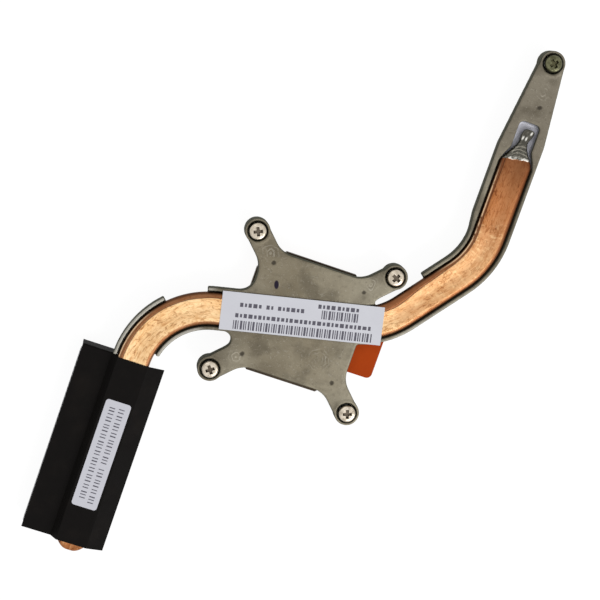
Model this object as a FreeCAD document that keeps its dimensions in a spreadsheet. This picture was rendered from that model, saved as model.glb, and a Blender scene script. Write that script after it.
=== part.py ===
"""Laptop heatsink: cast base, flattened heat pipe, fin pack and five sprung captive screws.

Frame, in millimetres: origin at the middle of the square of processor screws, in the plane of the
contact face. +X runs along one side of that square, away from the fin pack. +Y runs along the arm
that carries the fifth screw. +Z points away from the circuit board.
"""
import FreeCAD
import Part
import Sketcher
import math
import os

# Driving sizes: name, value, what it measures. Lengths in mm, angles in degrees.
SIZES = [
    ("screw_spacing", "47.6", "side of the square of processor screws"),
    ("arm_screw_x", "48.6", "place of the arm's screw along X"),
    ("arm_screw_y", "105.6", "place of the arm's screw along Y"),
    ("liner_thick", "0.1", "release liner over the thermal pad"),
    ("pad_thick", "0.25", "thermal pad on the contact plate"),
    ("contact_thick", "2.0", "copper contact plate"),
    ("trough_floor", "1.25", "casting left under the pipe"),
    ("pipe_proud", "0.3", "pipe above the top of the casting"),
    ("pipe_width", "10.9", "flattened pipe across its flats"),
    ("pipe_thick", "3.0", "flattened pipe, face to face"),
    ("pipe_fin_x", "48.1", "pipe axis over the fins, left of the middle of the plate"),
    ("pipe_cpu_y", "1.65", "pipe axis where it crosses X = 0"),
    ("pipe_cpu_angle", "12.5", "slope of the run over the processor"),
    ("pipe_knee_x", "24.6", "corner between that run and the rising run"),
    ("pipe_rise_angle", "52", "slope of the rising run"),
    ("pipe_bend", "25.0", "bend radius at the pipe axis"),
    ("shoulder_back", "35.0", "end of the pipe's full section, back from the arm's screw"),
    ("shoulder_length", "2.6", "rounded first part of the shoulder"),
    ("shoulder_width", "9.0", "shoulder across at the end of that part"),
    ("shoulder_thick", "2.8", "shoulder there, face to face"),
    ("neck_length", "7.6", "taper from the full section to the neck"),
    ("neck_width", "3.3", "neck across"),
    ("neck_thick", "2.4", "neck, face to face"),
    ("crimp_length", "5.0", "crimped filling tip"),
    ("crimp_width", "3.9", "end of the crimp across"),
    ("crimp_thick", "1.0", "end of the crimp, face to face"),
    ("crimp_lean", "0.8", "sideways lean of the crimp's end"),
    ("nub_inset", "1.9", "closed end starts this far inside the fin pack"),
    ("nub_length", "2.5", "closed end past the fin pack"),
    ("nub_root_width", "8.4", "closed end across, at the fin pack's edge"),
    ("nub_root_thick", "2.6", "closed end there, face to face"),
    ("nub_width", "4.8", "tip of the closed end across"),
    ("nub_thick", "1.3", "tip of the closed end, face to face"),
    ("plate_width", "38.6", "casting's plate along X"),
    ("plate_depth", "39.2", "casting's plate along Y"),
    ("spoke_width", "7.9", "arms from the plate to the screws"),
    ("spoke_fillet", "8.0", "rounding between plate and arms"),
    ("web_upper", "5.0", "rounding between the plate and the trough, arm side"),
    ("web_lower", "2.8", "rounding between the trough and the first screw's arm"),
    ("boss_radius", "4.15", "screw boss outside"),
    ("boss_rim", "0.3", "boss above the top of the casting"),
    ("boss_foot", "0.6", "underside of the boss above the contact face"),
    ("well_radius", "3.35", "spring well inside the boss"),
    ("well_floor", "1.0", "floor of the spring well"),
    ("screw_hole", "1.45", "radius of the hole in that floor"),
    ("trough_gap", "0.4", "room between the pipe and each wall"),
    ("wall", "1.15", "wall of the pipe's trough"),
    ("channel_gap", "0.4", "room between the trough and the fin pack"),
    ("ledge_half", "4.8", "half width of the floor where there is no wall"),
    ("outer_gap_start_angle", "108.0", "open stretch of the outer wall, first angle"),
    ("outer_gap_end_angle", "134.5", "open stretch of the outer wall, last angle"),
    ("inner_wall_end", "3.6", "inner wall stops this far before the trough's end"),
    ("rise_gap_start", "2.6", "open stretch on the rising run, from its corner"),
    ("rise_gap_end", "20.5", "end of that open stretch"),
    ("arm_left", "7.7", "arm's edge from the pipe axis, plate side"),
    ("arm_right", "7.0", "arm's edge from the pipe axis, far side"),
    ("arm_flare", "6.0", "length over which the arm widens"),
    ("taper_left_back", "29.4", "start of the taper, plate side, back from the arm's screw"),
    ("taper_right_back", "26.3", "start of the taper, far side, back from the arm's screw"),
    ("arm_round", "14.0", "rounding where the taper starts"),
    ("tip_pocket_width", "7.1", "recess round the crimped tip"),
    ("tip_pocket_length", "14.3", "that recess, from the trough's end"),
    ("tip_pocket_round", "1.6", "corner of that recess"),
    ("shoulder_round", "2.5", "trough's corner beside the pipe's shoulder"),
    ("core_back", "17.6", "hollow under the arm's tail, back from the arm's screw"),
    ("core_length", "12.0", "length of that hollow"),
    ("core_skin", "1.6", "casting left round that hollow"),
    ("core_depth", "2.3", "depth of that hollow"),
    ("pedestal_length", "30.0", "raised copper under the pipe, along it"),
    ("pedestal_width", "9.4", "raised copper across the pipe"),
    ("window_gap", "0.15", "room round the raised copper"),
    ("contact_size", "39.5", "contact plate, side to side"),
    ("contact_chamfer", "7.75", "contact plate's cut corners"),
    ("pad_size", "20.0", "thermal pad, side to side"),
    ("liner_left", "13.0", "release liner, plate end"),
    ("liner_right", "28.6", "release liner, end of the pull tab"),
    ("liner_depth", "23.3", "release liner along Y"),
    ("liner_round", "1.8", "release liner's corners"),
    ("arm_pad_back", "45.6", "middle of the arm's thermal pad, back from the arm's screw"),
    ("arm_pad_width", "12.0", "arm's thermal pad along X"),
    ("arm_pad_length", "18.0", "arm's thermal pad along Y"),
    ("arm_pad_thick", "1.2", "arm's thermal pad"),
    ("fin_left", "17.1", "open side of the fins, left of the pipe axis"),
    ("fin_length", "27.8", "fins along X"),
    ("fin_front_y", "0.33", "front of the fin pack's film, behind the end of the pipe's bend"),
    ("fin_set_back", "2.4", "first fin behind the front of the film"),
    ("fin_pack", "64.1", "film and fin pack along Y"),
    ("fin_count", "34", "fins in the pack"),
    ("fin_height", "7.6", "fins along Z"),
    ("fin_sheet", "0.25", "fin sheet"),
    ("film_thick", "0.2", "cover film"),
    ("film_side", "0.35", "film's top fold outside the pipe, left"),
    ("film_rise", "2.0", "width of the film's left slope"),
    ("film_flap", "7.2", "film folded down over the front fin"),
    ("label_thick", "0.1", "labels"),
    ("plate_label_x", "0.75", "middle of the plate's label, left of the middle of the plate"),
    ("plate_label_length", "53.2", "plate's label along the pipe"),
    ("plate_label_width", "12.7", "plate's label across the pipe"),
    ("fin_label_y", "32.5", "middle of the fin pack's label, behind the front of the film"),
    ("fin_label_length", "37.0", "fin pack's label along Y"),
    ("fin_label_width", "8.5", "fin pack's label along X"),
    ("fin_label_round", "1.0", "fin pack's label, corners"),
    ("head_radius", "2.75", "screw head"),
    ("head_height", "1.9", "screw head"),
    ("head_sink", "0.2", "underside of the head below the boss rim"),
    ("thread_radius", "1.25", "threaded end of the screw"),
    ("waist_radius", "1.0", "thinner shank between head and thread"),
    ("recess_length", "3.0", "cross recess, tip to tip"),
    ("recess_width", "0.85", "cross recess, arm width"),
    ("recess_depth", "0.9", "cross recess"),
    ("ring_thick", "0.5", "retaining ring"),
    ("ring_half", "2.2", "retaining ring, middle to outside"),
    ("ring_play", "0.05", "room between the retaining ring and the screw"),
    ("spring_radius", "2.1", "spring, to the middle of its wire"),
    ("spring_wire", "0.5", "spring wire"),
    ("spring_turns", "3.25", "turns of the spring"),
    ("coil_sides", "8", "flat sides to a turn of the spring"),
]

doc = FreeCAD.newDocument("LaptopHeatsink")
sheet = doc.addObject("Spreadsheet::Sheet", "Sizes")
for row, (alias, value, meaning) in enumerate(SIZES, start=1):
    sheet.set(f"A{row}", alias)
    sheet.set(f"B{row}", value)
    sheet.set(f"C{row}", meaning)
    sheet.setAlias(f"B{row}", alias)
doc.recompute()

SUBPARTS = []
UP = FreeCAD.Vector(0, 0, 1)
UPRIGHT = FreeCAD.Vector(0, 1, 0)
RIGHT_ANGLE = 90
FULL_TURN = 360


class Size:
    """A size from the sheet, or one worked out from several: its expression and its value."""

    def __init__(self, text, value):
        self.text = text
        self.value = value

    def __neg__(self):
        return Size(f"(-{self.text})", -self.value)

    def __add__(self, other):
        other = size_of(other)
        return Size(f"({self.text} + {other.text})", self.value + other.value)

    def __sub__(self, other):
        other = size_of(other)
        return Size(f"({self.text} - {other.text})", self.value - other.value)

    def __mul__(self, other):
        other = size_of(other)
        return Size(f"({self.text} * {other.text})", self.value * other.value)

    def __truediv__(self, other):
        other = size_of(other)
        return Size(f"({self.text} / {other.text})", self.value / other.value)


def size_of(number):
    """A plain number as a size, and a size as it is."""
    if isinstance(number, Size):
        return number
    return Size(f"({number})", float(number))


def sine(angle):
    return Size(f"sin({angle.text})", math.sin(math.radians(angle.value)))


def cosine(angle):
    return Size(f"cos({angle.text})", math.cos(math.radians(angle.value)))


def tangent(angle):
    return Size(f"tan({angle.text})", math.tan(math.radians(angle.value)))


def root(number):
    return Size(f"sqrt({number.text})", math.sqrt(number.value))


def named_sizes():
    """Each alias of the sheet as a size."""
    return {alias: Size(f"Sizes.{alias}", float(sheet.get(alias))) for alias, _, _ in SIZES}


S = named_sizes()
ZERO = size_of(0)

# Heights, from the contact face up
pad_top = S["liner_thick"] + S["pad_thick"]
contact_top = pad_top + S["contact_thick"]
floor_top = contact_top + S["trough_floor"]
pipe_top = floor_top + S["pipe_thick"]
pipe_middle = floor_top + S["pipe_thick"] / 2
casting_top = pipe_top - S["pipe_proud"]
casting_thick = casting_top - contact_top
rim_top = casting_top + S["boss_rim"]
well_bottom = S["boss_foot"] + S["well_floor"]
head_under = rim_top - S["head_sink"]
head_top = head_under + S["head_height"]
fin_bottom = floor_top - S["fin_height"]

# Plan: corners of the pipe's axis and widths across it
half_square = S["screw_spacing"] / 2
half_pipe = S["pipe_width"] / 2
half_trough = half_pipe + S["trough_gap"]
half_channel = half_trough + S["wall"]
arm_x = S["arm_screw_x"]
shoulder_y = S["arm_screw_y"] - S["shoulder_back"]
pipe_fin_x = -S["pipe_fin_x"]
cpu_slope = tangent(S["pipe_cpu_angle"])
rise_slope = tangent(S["pipe_rise_angle"])
fin_corner_y = S["pipe_cpu_y"] + pipe_fin_x * cpu_slope
knee_y = S["pipe_cpu_y"] + S["pipe_knee_x"] * cpu_slope
arm_corner_y = knee_y + (arm_x - S["pipe_knee_x"]) * rise_slope
arm_bend_end = arm_corner_y + S["pipe_bend"] * tangent((size_of(RIGHT_ANGLE) - S["pipe_rise_angle"]) / 2)
fin_bend_x = pipe_fin_x + S["pipe_bend"]
fin_bend_y = fin_corner_y - S["pipe_bend"] * tangent((size_of(RIGHT_ANGLE) - S["pipe_cpu_angle"]) / 2)

# Plan: film and fins, placed from the pipe
fin_left = pipe_fin_x - S["fin_left"]
fin_right = fin_left + S["fin_length"]
fin_front_y = fin_bend_y - S["fin_front_y"]
fin_back_y = fin_front_y - S["fin_pack"]
first_fin_y = fin_front_y - S["fin_set_back"]
fin_pitch = (S["fin_pack"] - S["fin_set_back"]) / S["fin_count"]
channel_start_y = fin_front_y + S["channel_gap"]

SCREW_PLACES = [
    (-half_square, -half_square),
    (half_square, -half_square),
    (half_square, half_square),
    (-half_square, half_square),
    (arm_x, S["arm_screw_y"]),
]


def new_body(name):
    """A body about the origin, as a pattern for copies or as a sub-part."""
    body = doc.addObject("PartDesign::Body", name)
    body.Label = name
    return body


def new_subpart(name):
    """The body of a sub-part that is modelled in its place."""
    body = new_body(name)
    SUBPARTS.append(body)
    return body


def copy_to(pattern, name, x, y):
    """A sub-part that is a copy of a finished body, moved to (x, y)."""
    body = new_subpart(name)
    shape = doc.addObject("PartDesign::FeatureBase", f"{name}_copy")
    shape.BaseFeature = pattern
    body.Group = [shape]
    body.Tip = shape
    body.setExpression("Placement.Base.x", x.text)
    body.setExpression("Placement.Base.y", y.text)


def new_sketch(body, name, role="XY_Plane", offset=None):
    """A sketch on one of the body's own planes, moved along the plane's normal."""
    plane = next(item for item in body.Origin.OriginFeatures if item.Role == role)
    sketch = body.newObject("Sketcher::SketchObject", name)
    sketch.AttachmentSupport = [(plane, "")]
    sketch.MapMode = "FlatFace"
    if offset is not None:
        sketch.setExpression("AttachmentOffset.Base.z", offset.text)
    return sketch


def tie(sketch, kind, geometry, point, size):
    """Ties one coordinate of a point of the sketch to a size."""
    index = sketch.addConstraint(Sketcher.Constraint(kind, -1, 1, geometry, point, size.value))
    sketch.setExpression(f"Constraints[{index}]", size.text)


def hold(sketch, geometry, point, x, y):
    """Ties a point of the sketch to (x, y)."""
    tie(sketch, "DistanceX", geometry, point, x)
    tie(sketch, "DistanceY", geometry, point, y)


def set_radius(sketch, geometry, radius):
    index = sketch.addConstraint(Sketcher.Constraint("Radius", geometry, radius.value))
    sketch.setExpression(f"Constraints[{index}]", radius.text)


def circle(sketch, x, y, radius):
    centre = FreeCAD.Vector(x.value, y.value, 0)
    index = sketch.addGeometry(Part.Circle(centre, UP, radius.value))
    hold(sketch, index, 3, x, y)
    set_radius(sketch, index, radius)


def counterclockwise_arc(centre, start, end):
    """Arc about centre from start to end, the way the angle grows."""
    first = math.atan2(start.y - centre.y, start.x - centre.x)
    last = math.atan2(end.y - centre.y, end.x - centre.x)
    if last < first:
        last += 2 * math.pi
    return Part.ArcOfCircle(Part.Circle(centre, UP, (start - centre).Length), first, last)


def rounded_corner(before, corner, after, radius):
    """Where the rounding of a corner starts and ends, its centre, and whether it turns left."""
    back = (before - corner).normalize()
    ahead = (after - corner).normalize()
    half = math.acos(back.dot(ahead)) / 2
    reach = radius / math.tan(half)
    centre = corner + (back + ahead).normalize() * (radius / math.sin(half))
    turns_left = back.cross(ahead).z < 0
    return corner + back * reach, corner + ahead * reach, centre, turns_left


def outline(sketch, corners, closed=True):
    """Straight runs between corners (x, y, radius or None), tangent arcs at those with a radius."""
    count = len(corners)
    places = [FreeCAD.Vector(x.value, y.value, 0) for x, y, _ in corners]
    enter = list(places)
    leave = list(places)
    arcs = {}
    for i, (_, _, radius) in enumerate(corners):
        if radius is None:
            continue
        before = places[i - 1]
        after = places[(i + 1) % count]
        enter[i], leave[i], centre, turns_left = rounded_corner(before, places[i], after, radius.value)
        arcs[i] = (centre, turns_left)
    runs = count if closed else count - 1
    lines = []
    for i in range(runs):
        lines.append(sketch.addGeometry(Part.LineSegment(leave[i], enter[(i + 1) % count])))
    for i, (x, y, radius) in enumerate(corners):
        if not closed and i == 0:
            hold(sketch, lines[0], 1, x, y)
            continue
        if not closed and i == count - 1:
            hold(sketch, lines[-1], 2, x, y)
            continue
        arriving = lines[i - 1]
        departing = lines[i]
        if radius is None:
            sketch.addConstraint(Sketcher.Constraint("Coincident", arriving, 2, departing, 1))
            hold(sketch, departing, 1, x, y)
            continue
        centre, turns_left = arcs[i]
        ends = (enter[i], leave[i]) if turns_left else (leave[i], enter[i])
        arc = sketch.addGeometry(counterclockwise_arc(centre, *ends))
        corner = sketch.addGeometry(Part.Point(places[i]), True)
        first, last = (1, 2) if turns_left else (2, 1)
        sketch.addConstraint([
            Sketcher.Constraint("Tangent", arriving, 2, arc, first),
            Sketcher.Constraint("Tangent", arc, last, departing, 1),
            Sketcher.Constraint("PointOnObject", corner, 1, arriving),
            Sketcher.Constraint("PointOnObject", corner, 1, departing),
        ])
        set_radius(sketch, arc, radius)
        hold(sketch, corner, 1, x, y)


def rectangle(sketch, left, right, low, high, radius=None):
    outline(sketch, [(left, low, radius), (right, low, radius), (right, high, radius), (left, high, radius)])


def turned_rectangle(sketch, x, y, length, width, angle):
    """Rectangle about (x, y) with its length at an angle to the sketch's first axis."""
    along = (cosine(angle) * length / 2, sine(angle) * length / 2)
    across = (sine(angle) * width / -2, cosine(angle) * width / 2)
    corners = []
    for sign_along, sign_across in ((-1, -1), (1, -1), (1, 1), (-1, 1)):
        corner_x = x + along[0] * sign_along + across[0] * sign_across
        corner_y = y + along[1] * sign_along + across[1] * sign_across
        corners.append((corner_x, corner_y, None))
    outline(sketch, corners)


def flat_oval(sketch, x, middle, width, thick):
    """Section of a flattened tube: two flats joined by half circles."""
    flat = (width - thick) / 2
    half = thick / 2
    left = x - flat
    right = x + flat
    low = middle - half
    high = middle + half
    ends = [FreeCAD.Vector(px.value, py.value, 0) for px, py in
            ((left, low), (right, low), (right, high), (left, high))]
    bottom = sketch.addGeometry(Part.LineSegment(ends[0], ends[1]))
    top = sketch.addGeometry(Part.LineSegment(ends[2], ends[3]))
    right_centre = (ends[1] + ends[2]) / 2
    left_centre = (ends[3] + ends[0]) / 2
    right_arc = sketch.addGeometry(counterclockwise_arc(right_centre, ends[1], ends[2]))
    left_arc = sketch.addGeometry(counterclockwise_arc(left_centre, ends[3], ends[0]))
    sketch.addConstraint([
        Sketcher.Constraint("Coincident", bottom, 2, right_arc, 1),
        Sketcher.Constraint("Coincident", right_arc, 2, top, 1),
        Sketcher.Constraint("Coincident", top, 2, left_arc, 1),
        Sketcher.Constraint("Coincident", left_arc, 2, bottom, 1),
    ])
    hold(sketch, bottom, 1, left, low)
    hold(sketch, bottom, 2, right, low)
    hold(sketch, top, 1, right, high)
    hold(sketch, top, 2, left, high)
    tie(sketch, "DistanceX", right_arc, 3, right)
    tie(sketch, "DistanceX", left_arc, 3, left)


def pad(body, sketch, length):
    feature = body.newObject("PartDesign::Pad", f"{sketch.Name}_pad")
    feature.Profile = sketch
    feature.setExpression("Length", length.text)


def pocket(body, sketch, depth, upward=False):
    feature = body.newObject("PartDesign::Pocket", f"{sketch.Name}_pocket")
    feature.Profile = sketch
    feature.Reversed = upward
    feature.setExpression("Length", depth.text)


def sweep(body, kind, profile, route):
    feature = body.newObject(f"PartDesign::{kind}", f"{profile.Name}_sweep")
    feature.Profile = profile
    feature.Spine = route


def loft(body, name, sections):
    """Straight-sided loft from each section to the next."""
    feature = body.newObject("PartDesign::AdditiveLoft", name)
    feature.Profile = sections[0]
    feature.Sections = sections[1:]
    feature.Ruled = True


def pipe_route(body, name, start_y, end_y):
    """The pipe's axis in plan: four straight runs joined by bends of one radius."""
    route = new_sketch(body, name)
    outline(route, [
        (pipe_fin_x, start_y, None),
        (pipe_fin_x, fin_corner_y, S["pipe_bend"]),
        (S["pipe_knee_x"], knee_y, S["pipe_bend"]),
        (arm_x, arm_corner_y, S["pipe_bend"]),
        (arm_x, end_y, None),
    ], closed=False)
    return route


def trough_section(body, name, half_width, low, high):
    """Upright rectangle across the pipe's axis at the far end of the fin pack."""
    section = new_sketch(body, name, "XZ_Plane", -fin_back_y)
    rectangle(section, pipe_fin_x - half_width, pipe_fin_x + half_width, low, high)
    return section


def channel(body):
    """The bar that the pipe lies in, before the plate and the arm are added."""
    route = pipe_route(body, "channel_route", fin_back_y, shoulder_y)
    section = trough_section(body, "channel_section", half_channel, contact_top, casting_top)
    sweep(body, "AdditivePipe", section, route)
    beside_fins = new_sketch(body, "channel_end", offset=casting_top)
    rectangle(beside_fins, pipe_fin_x - half_channel * 2, pipe_fin_x + half_channel * 2,
              fin_back_y - half_channel, channel_start_y)
    pocket(body, beside_fins, casting_thick)


def open_stretches(body):
    """Stretches without a wall, where only a ledge under the pipe is left."""
    depth = casting_thick
    outer = new_sketch(body, "outer_gap", offset=casting_top)
    near = S["pipe_bend"] + S["ledge_half"]
    far = S["pipe_bend"] + half_channel * 2
    corners = []
    for reach, angle in ((near, "outer_gap_start_angle"), (far, "outer_gap_start_angle"),
                         (far, "outer_gap_end_angle"), (near, "outer_gap_end_angle")):
        corner_x = fin_bend_x + cosine(S[angle]) * reach
        corner_y = fin_bend_y + sine(S[angle]) * reach
        corners.append((corner_x, corner_y, None))
    outline(outer, corners)
    pocket(body, outer, depth)

    inner = new_sketch(body, "inner_gap", offset=casting_top)
    rectangle(inner, pipe_fin_x + S["ledge_half"], pipe_fin_x + half_channel * 2,
              fin_front_y, channel_start_y + S["inner_wall_end"])
    pocket(body, inner, depth)

    rising = new_sketch(body, "rise_gap", offset=casting_top)
    along_x = cosine(S["pipe_rise_angle"])
    along_y = sine(S["pipe_rise_angle"])
    far_side = half_channel + S["wall"] * 2
    corners = []
    for along, across in (("rise_gap_start", S["ledge_half"]), ("rise_gap_end", S["ledge_half"]),
                          ("rise_gap_end", far_side), ("rise_gap_start", far_side)):
        corner_x = S["pipe_knee_x"] + along_x * S[along] - along_y * across
        corner_y = knee_y + along_y * S[along] + along_x * across
        corners.append((corner_x, corner_y, None))
    outline(rising, corners)
    pocket(body, rising, depth)


def plate_and_spokes(body):
    """Plate over the processor with an arm to each screw of the square."""
    half_x = S["plate_width"] / 2
    half_y = S["plate_depth"] / 2
    offset = S["spoke_width"] / cosine(size_of(RIGHT_ANGLE) / 2) / 2
    reach = offset / 2
    corners = []
    for sign_x, sign_y in ((1, 1), (-1, 1), (-1, -1), (1, -1)):
        side = (half_x * sign_x, (half_x - offset) * sign_y, S["spoke_fillet"])
        outer_side = ((half_square + reach) * sign_x, (half_square - reach) * sign_y, None)
        outer_end = ((half_square - reach) * sign_x, (half_square + reach) * sign_y, None)
        end = ((half_y - offset) * sign_x, half_y * sign_y, S["spoke_fillet"])
        quarter = [side, outer_side, outer_end, end]
        if sign_x * sign_y < 0:
            quarter.reverse()
        corners.extend(quarter)
    sketch = new_sketch(body, "plate", offset=contact_top)
    outline(sketch, corners)
    pad(body, sketch, casting_thick)


def webs(body):
    """Rounded corners between the trough and the plate, on the fins' side."""
    edge = half_channel / cosine(S["pipe_cpu_angle"])
    back_x = -cosine(S["pipe_cpu_angle"])
    back_y = -sine(S["pipe_cpu_angle"])
    side = -S["plate_width"] / 2
    reach = S["plate_width"] / 2
    upper = new_sketch(body, "upper_web", offset=contact_top)
    corner_y = S["pipe_cpu_y"] + side * cpu_slope + edge
    outline(upper, [
        (side, corner_y + S["web_upper"], None),
        (side, corner_y, S["web_upper"]),
        (side + back_x * S["web_upper"], corner_y + back_y * S["web_upper"], None),
        (ZERO, S["pipe_cpu_y"], None),
    ])
    pad(body, upper, casting_thick)
    lower = new_sketch(body, "lower_web", offset=contact_top)
    offset = S["spoke_width"] / cosine(size_of(RIGHT_ANGLE) / 2) / 2
    corner_x = (S["pipe_cpu_y"] - edge - offset) / (size_of(1) - cpu_slope)
    corner_y = corner_x + offset
    slant = cosine(size_of(RIGHT_ANGLE) / 2) * reach
    outline(lower, [
        (corner_x - slant, corner_y - slant, None),
        (corner_x, corner_y, S["web_lower"]),
        (corner_x + back_x * reach, corner_y + back_y * reach, None),
        (corner_x, S["pipe_cpu_y"], None),
        (ZERO, -half_square / 2, None),
    ])
    pad(body, lower, casting_thick)


def arm(body):
    """Flat bar round the end of the pipe, tapering to the fifth screw."""
    sketch = new_sketch(body, "arm", offset=contact_top)
    left = arm_x - S["arm_left"]
    right = arm_x + S["arm_right"]
    outline(sketch, [
        (arm_x - half_channel, arm_bend_end, None),
        (right, arm_bend_end, None),
        (right, S["arm_screw_y"] - S["taper_right_back"], S["arm_round"]),
        (arm_x + S["boss_radius"], S["arm_screw_y"], None),
        (arm_x - S["boss_radius"], S["arm_screw_y"], None),
        (left, S["arm_screw_y"] - S["taper_left_back"], S["arm_round"]),
        (left, arm_bend_end + S["arm_flare"], S["arm_round"]),
    ])
    pad(body, sketch, casting_thick)


def bosses(body):
    sketch = new_sketch(body, "bosses", offset=S["boss_foot"])
    for x, y in SCREW_PLACES:
        circle(sketch, x, y, S["boss_radius"])
    pad(body, sketch, rim_top - S["boss_foot"])


def trough(body):
    """Slot for the pipe, open at the fins' end, with the recess for its crimped tip."""
    end_y = shoulder_y - half_trough
    route = pipe_route(body, "trough_route", fin_back_y, end_y)
    section = trough_section(body, "trough_section", half_trough, floor_top, rim_top)
    sweep(body, "SubtractivePipe", section, route)
    depth = casting_top - floor_top
    corner_y = shoulder_y + S["trough_gap"]
    round_y = corner_y + S["shoulder_length"]
    half_shoulder = S["shoulder_width"] / 2 + S["trough_gap"]
    half_neck = S["neck_width"] / 2 + S["trough_gap"] * 2
    shoulder = new_sketch(body, "shoulder_recess", offset=casting_top)
    outline(shoulder, [
        (arm_x - half_trough, end_y, None),
        (arm_x + half_trough, end_y, None),
        (arm_x + half_trough, corner_y, S["shoulder_round"]),
        (arm_x + half_shoulder, round_y, None),
        (arm_x + half_neck, corner_y + S["neck_length"], None),
        (arm_x - half_neck, corner_y + S["neck_length"], None),
        (arm_x - half_shoulder, round_y, None),
        (arm_x - half_trough, corner_y, S["shoulder_round"]),
    ])
    pocket(body, shoulder, depth)
    recess = new_sketch(body, "tip_recess", offset=casting_top)
    half = S["tip_pocket_width"] / 2
    rectangle(recess, arm_x - half, arm_x + half, corner_y, corner_y + S["tip_pocket_length"],
              S["tip_pocket_round"])
    pocket(body, recess, depth)


def screw_wells(body):
    wells = new_sketch(body, "wells", offset=rim_top)
    for x, y in SCREW_PLACES:
        circle(wells, x, y, S["well_radius"])
    pocket(body, wells, rim_top - well_bottom)
    holes = new_sketch(body, "screw_holes", offset=well_bottom)
    for x, y in SCREW_PLACES:
        circle(holes, x, y, S["screw_hole"])
    pocket(body, holes, S["well_floor"])


def casting_details(body):
    """Window for the raised copper, and the hollow under the arm's tail."""
    window = new_sketch(body, "window", offset=floor_top)
    turned_rectangle(window, ZERO, S["pipe_cpu_y"], S["pedestal_length"] + S["window_gap"] * 2,
                     S["pedestal_width"] + S["window_gap"] * 2, S["pipe_cpu_angle"])
    pocket(body, window, S["trough_floor"])
    core = new_sketch(body, "tail_core", offset=contact_top)
    half = S["boss_radius"] - S["core_skin"]
    near_y = S["arm_screw_y"] - S["core_back"]
    rectangle(core, arm_x - half, arm_x + half, near_y, near_y + S["core_length"], S["core_skin"])
    pocket(body, core, S["core_depth"], upward=True)


def base_casting():
    body = new_subpart("base_casting")
    channel(body)
    open_stretches(body)
    plate_and_spokes(body)
    webs(body)
    arm(body)
    bosses(body)
    trough(body)
    screw_wells(body)
    casting_details(body)


def pipe_section(body, name, y, x, width, thick):
    section = new_sketch(body, name, "XZ_Plane", -y)
    flat_oval(section, x, pipe_middle, width, thick)
    return section


def heat_pipe():
    """Round tube pressed flat, bent three times, with a spun end and a crimped filling tip."""
    body = new_subpart("heat_pipe")
    start_y = fin_back_y + S["nub_inset"]
    route = pipe_route(body, "pipe_axis", start_y, shoulder_y)
    fin_x = pipe_fin_x
    width = S["pipe_width"]
    thick = S["pipe_thick"]
    sweep(body, "AdditivePipe", pipe_section(body, "pipe_start", start_y, fin_x, width, thick), route)
    loft(body, "spun_end", [
        pipe_section(body, "spun_root", start_y, fin_x, width, thick),
        pipe_section(body, "spun_middle", fin_back_y, fin_x, S["nub_root_width"], S["nub_root_thick"]),
        pipe_section(body, "spun_tip", fin_back_y - S["nub_length"], fin_x, S["nub_width"], S["nub_thick"]),
    ])
    neck_y = shoulder_y + S["neck_length"]
    round_y = shoulder_y + S["shoulder_length"]
    loft(body, "shoulder", [
        pipe_section(body, "shoulder_root", shoulder_y, arm_x, width, thick),
        pipe_section(body, "shoulder_round", round_y, arm_x, S["shoulder_width"], S["shoulder_thick"]),
        pipe_section(body, "shoulder_end", neck_y, arm_x, S["neck_width"], S["neck_thick"]),
    ])
    loft(body, "crimp", [
        pipe_section(body, "crimp_root", neck_y, arm_x, S["neck_width"], S["neck_thick"]),
        pipe_section(body, "crimp_end", neck_y + S["crimp_length"], arm_x + S["crimp_lean"],
                     S["crimp_width"], S["crimp_thick"]),
    ])


def cpu_contact_plate():
    """Copper plate under the casting, with a raised part that reaches the pipe."""
    body = new_subpart("cpu_contact_plate")
    half = S["contact_size"] / 2
    short = half - S["contact_chamfer"]
    corners = []
    for sign_x, sign_y in ((1, 1), (-1, 1), (-1, -1), (1, -1)):
        pair = [(half * sign_x, short * sign_y, None), (short * sign_x, half * sign_y, None)]
        if sign_x * sign_y < 0:
            pair.reverse()
        corners.extend(pair)
    plate = new_sketch(body, "contact_outline", offset=pad_top)
    outline(plate, corners)
    pad(body, plate, S["contact_thick"])
    raised = new_sketch(body, "pedestal", offset=contact_top)
    turned_rectangle(raised, ZERO, S["pipe_cpu_y"], S["pedestal_length"], S["pedestal_width"],
                     S["pipe_cpu_angle"])
    pad(body, raised, S["trough_floor"])


def cpu_thermal_pad():
    body = new_subpart("cpu_thermal_pad")
    half = S["pad_size"] / 2
    sketch = new_sketch(body, "cpu_pad_outline", offset=S["liner_thick"])
    rectangle(sketch, -half, half, -half, half)
    pad(body, sketch, S["pad_thick"])


def release_liner():
    """Film over the thermal pad with a pull tab that shows beside the plate."""
    body = new_subpart("release_liner")
    half = S["liner_depth"] / 2
    sketch = new_sketch(body, "liner_outline")
    rectangle(sketch, -S["liner_left"], S["liner_right"], -half, half, S["liner_round"])
    pad(body, sketch, S["liner_thick"])


def arm_thermal_pad():
    body = new_subpart("arm_thermal_pad")
    half_x = S["arm_pad_width"] / 2
    half_y = S["arm_pad_length"] / 2
    sketch = new_sketch(body, "arm_pad_outline", offset=contact_top - S["arm_pad_thick"])
    middle_y = S["arm_screw_y"] - S["arm_pad_back"]
    rectangle(sketch, arm_x - half_x, arm_x + half_x, middle_y - half_y, middle_y + half_y)
    pad(body, sketch, S["arm_pad_thick"])


def folded_fin():
    """Pattern of a fin: an upright web with a flange top and bottom that reaches the next web."""
    body = new_body("folded_fin")
    sketch = new_sketch(body, "fin_section", "YZ_Plane")
    web = fin_pitch - S["fin_sheet"]
    low = fin_bottom + S["fin_sheet"]
    high = floor_top - S["fin_sheet"]
    outline(sketch, [
        (ZERO, fin_bottom, None),
        (fin_pitch, fin_bottom, None),
        (fin_pitch, floor_top, None),
        (ZERO, floor_top, None),
        (ZERO, high, None),
        (web, high, None),
        (web, low, None),
        (ZERO, low, None),
    ])
    pad(body, sketch, S["fin_length"])
    return body


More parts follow.
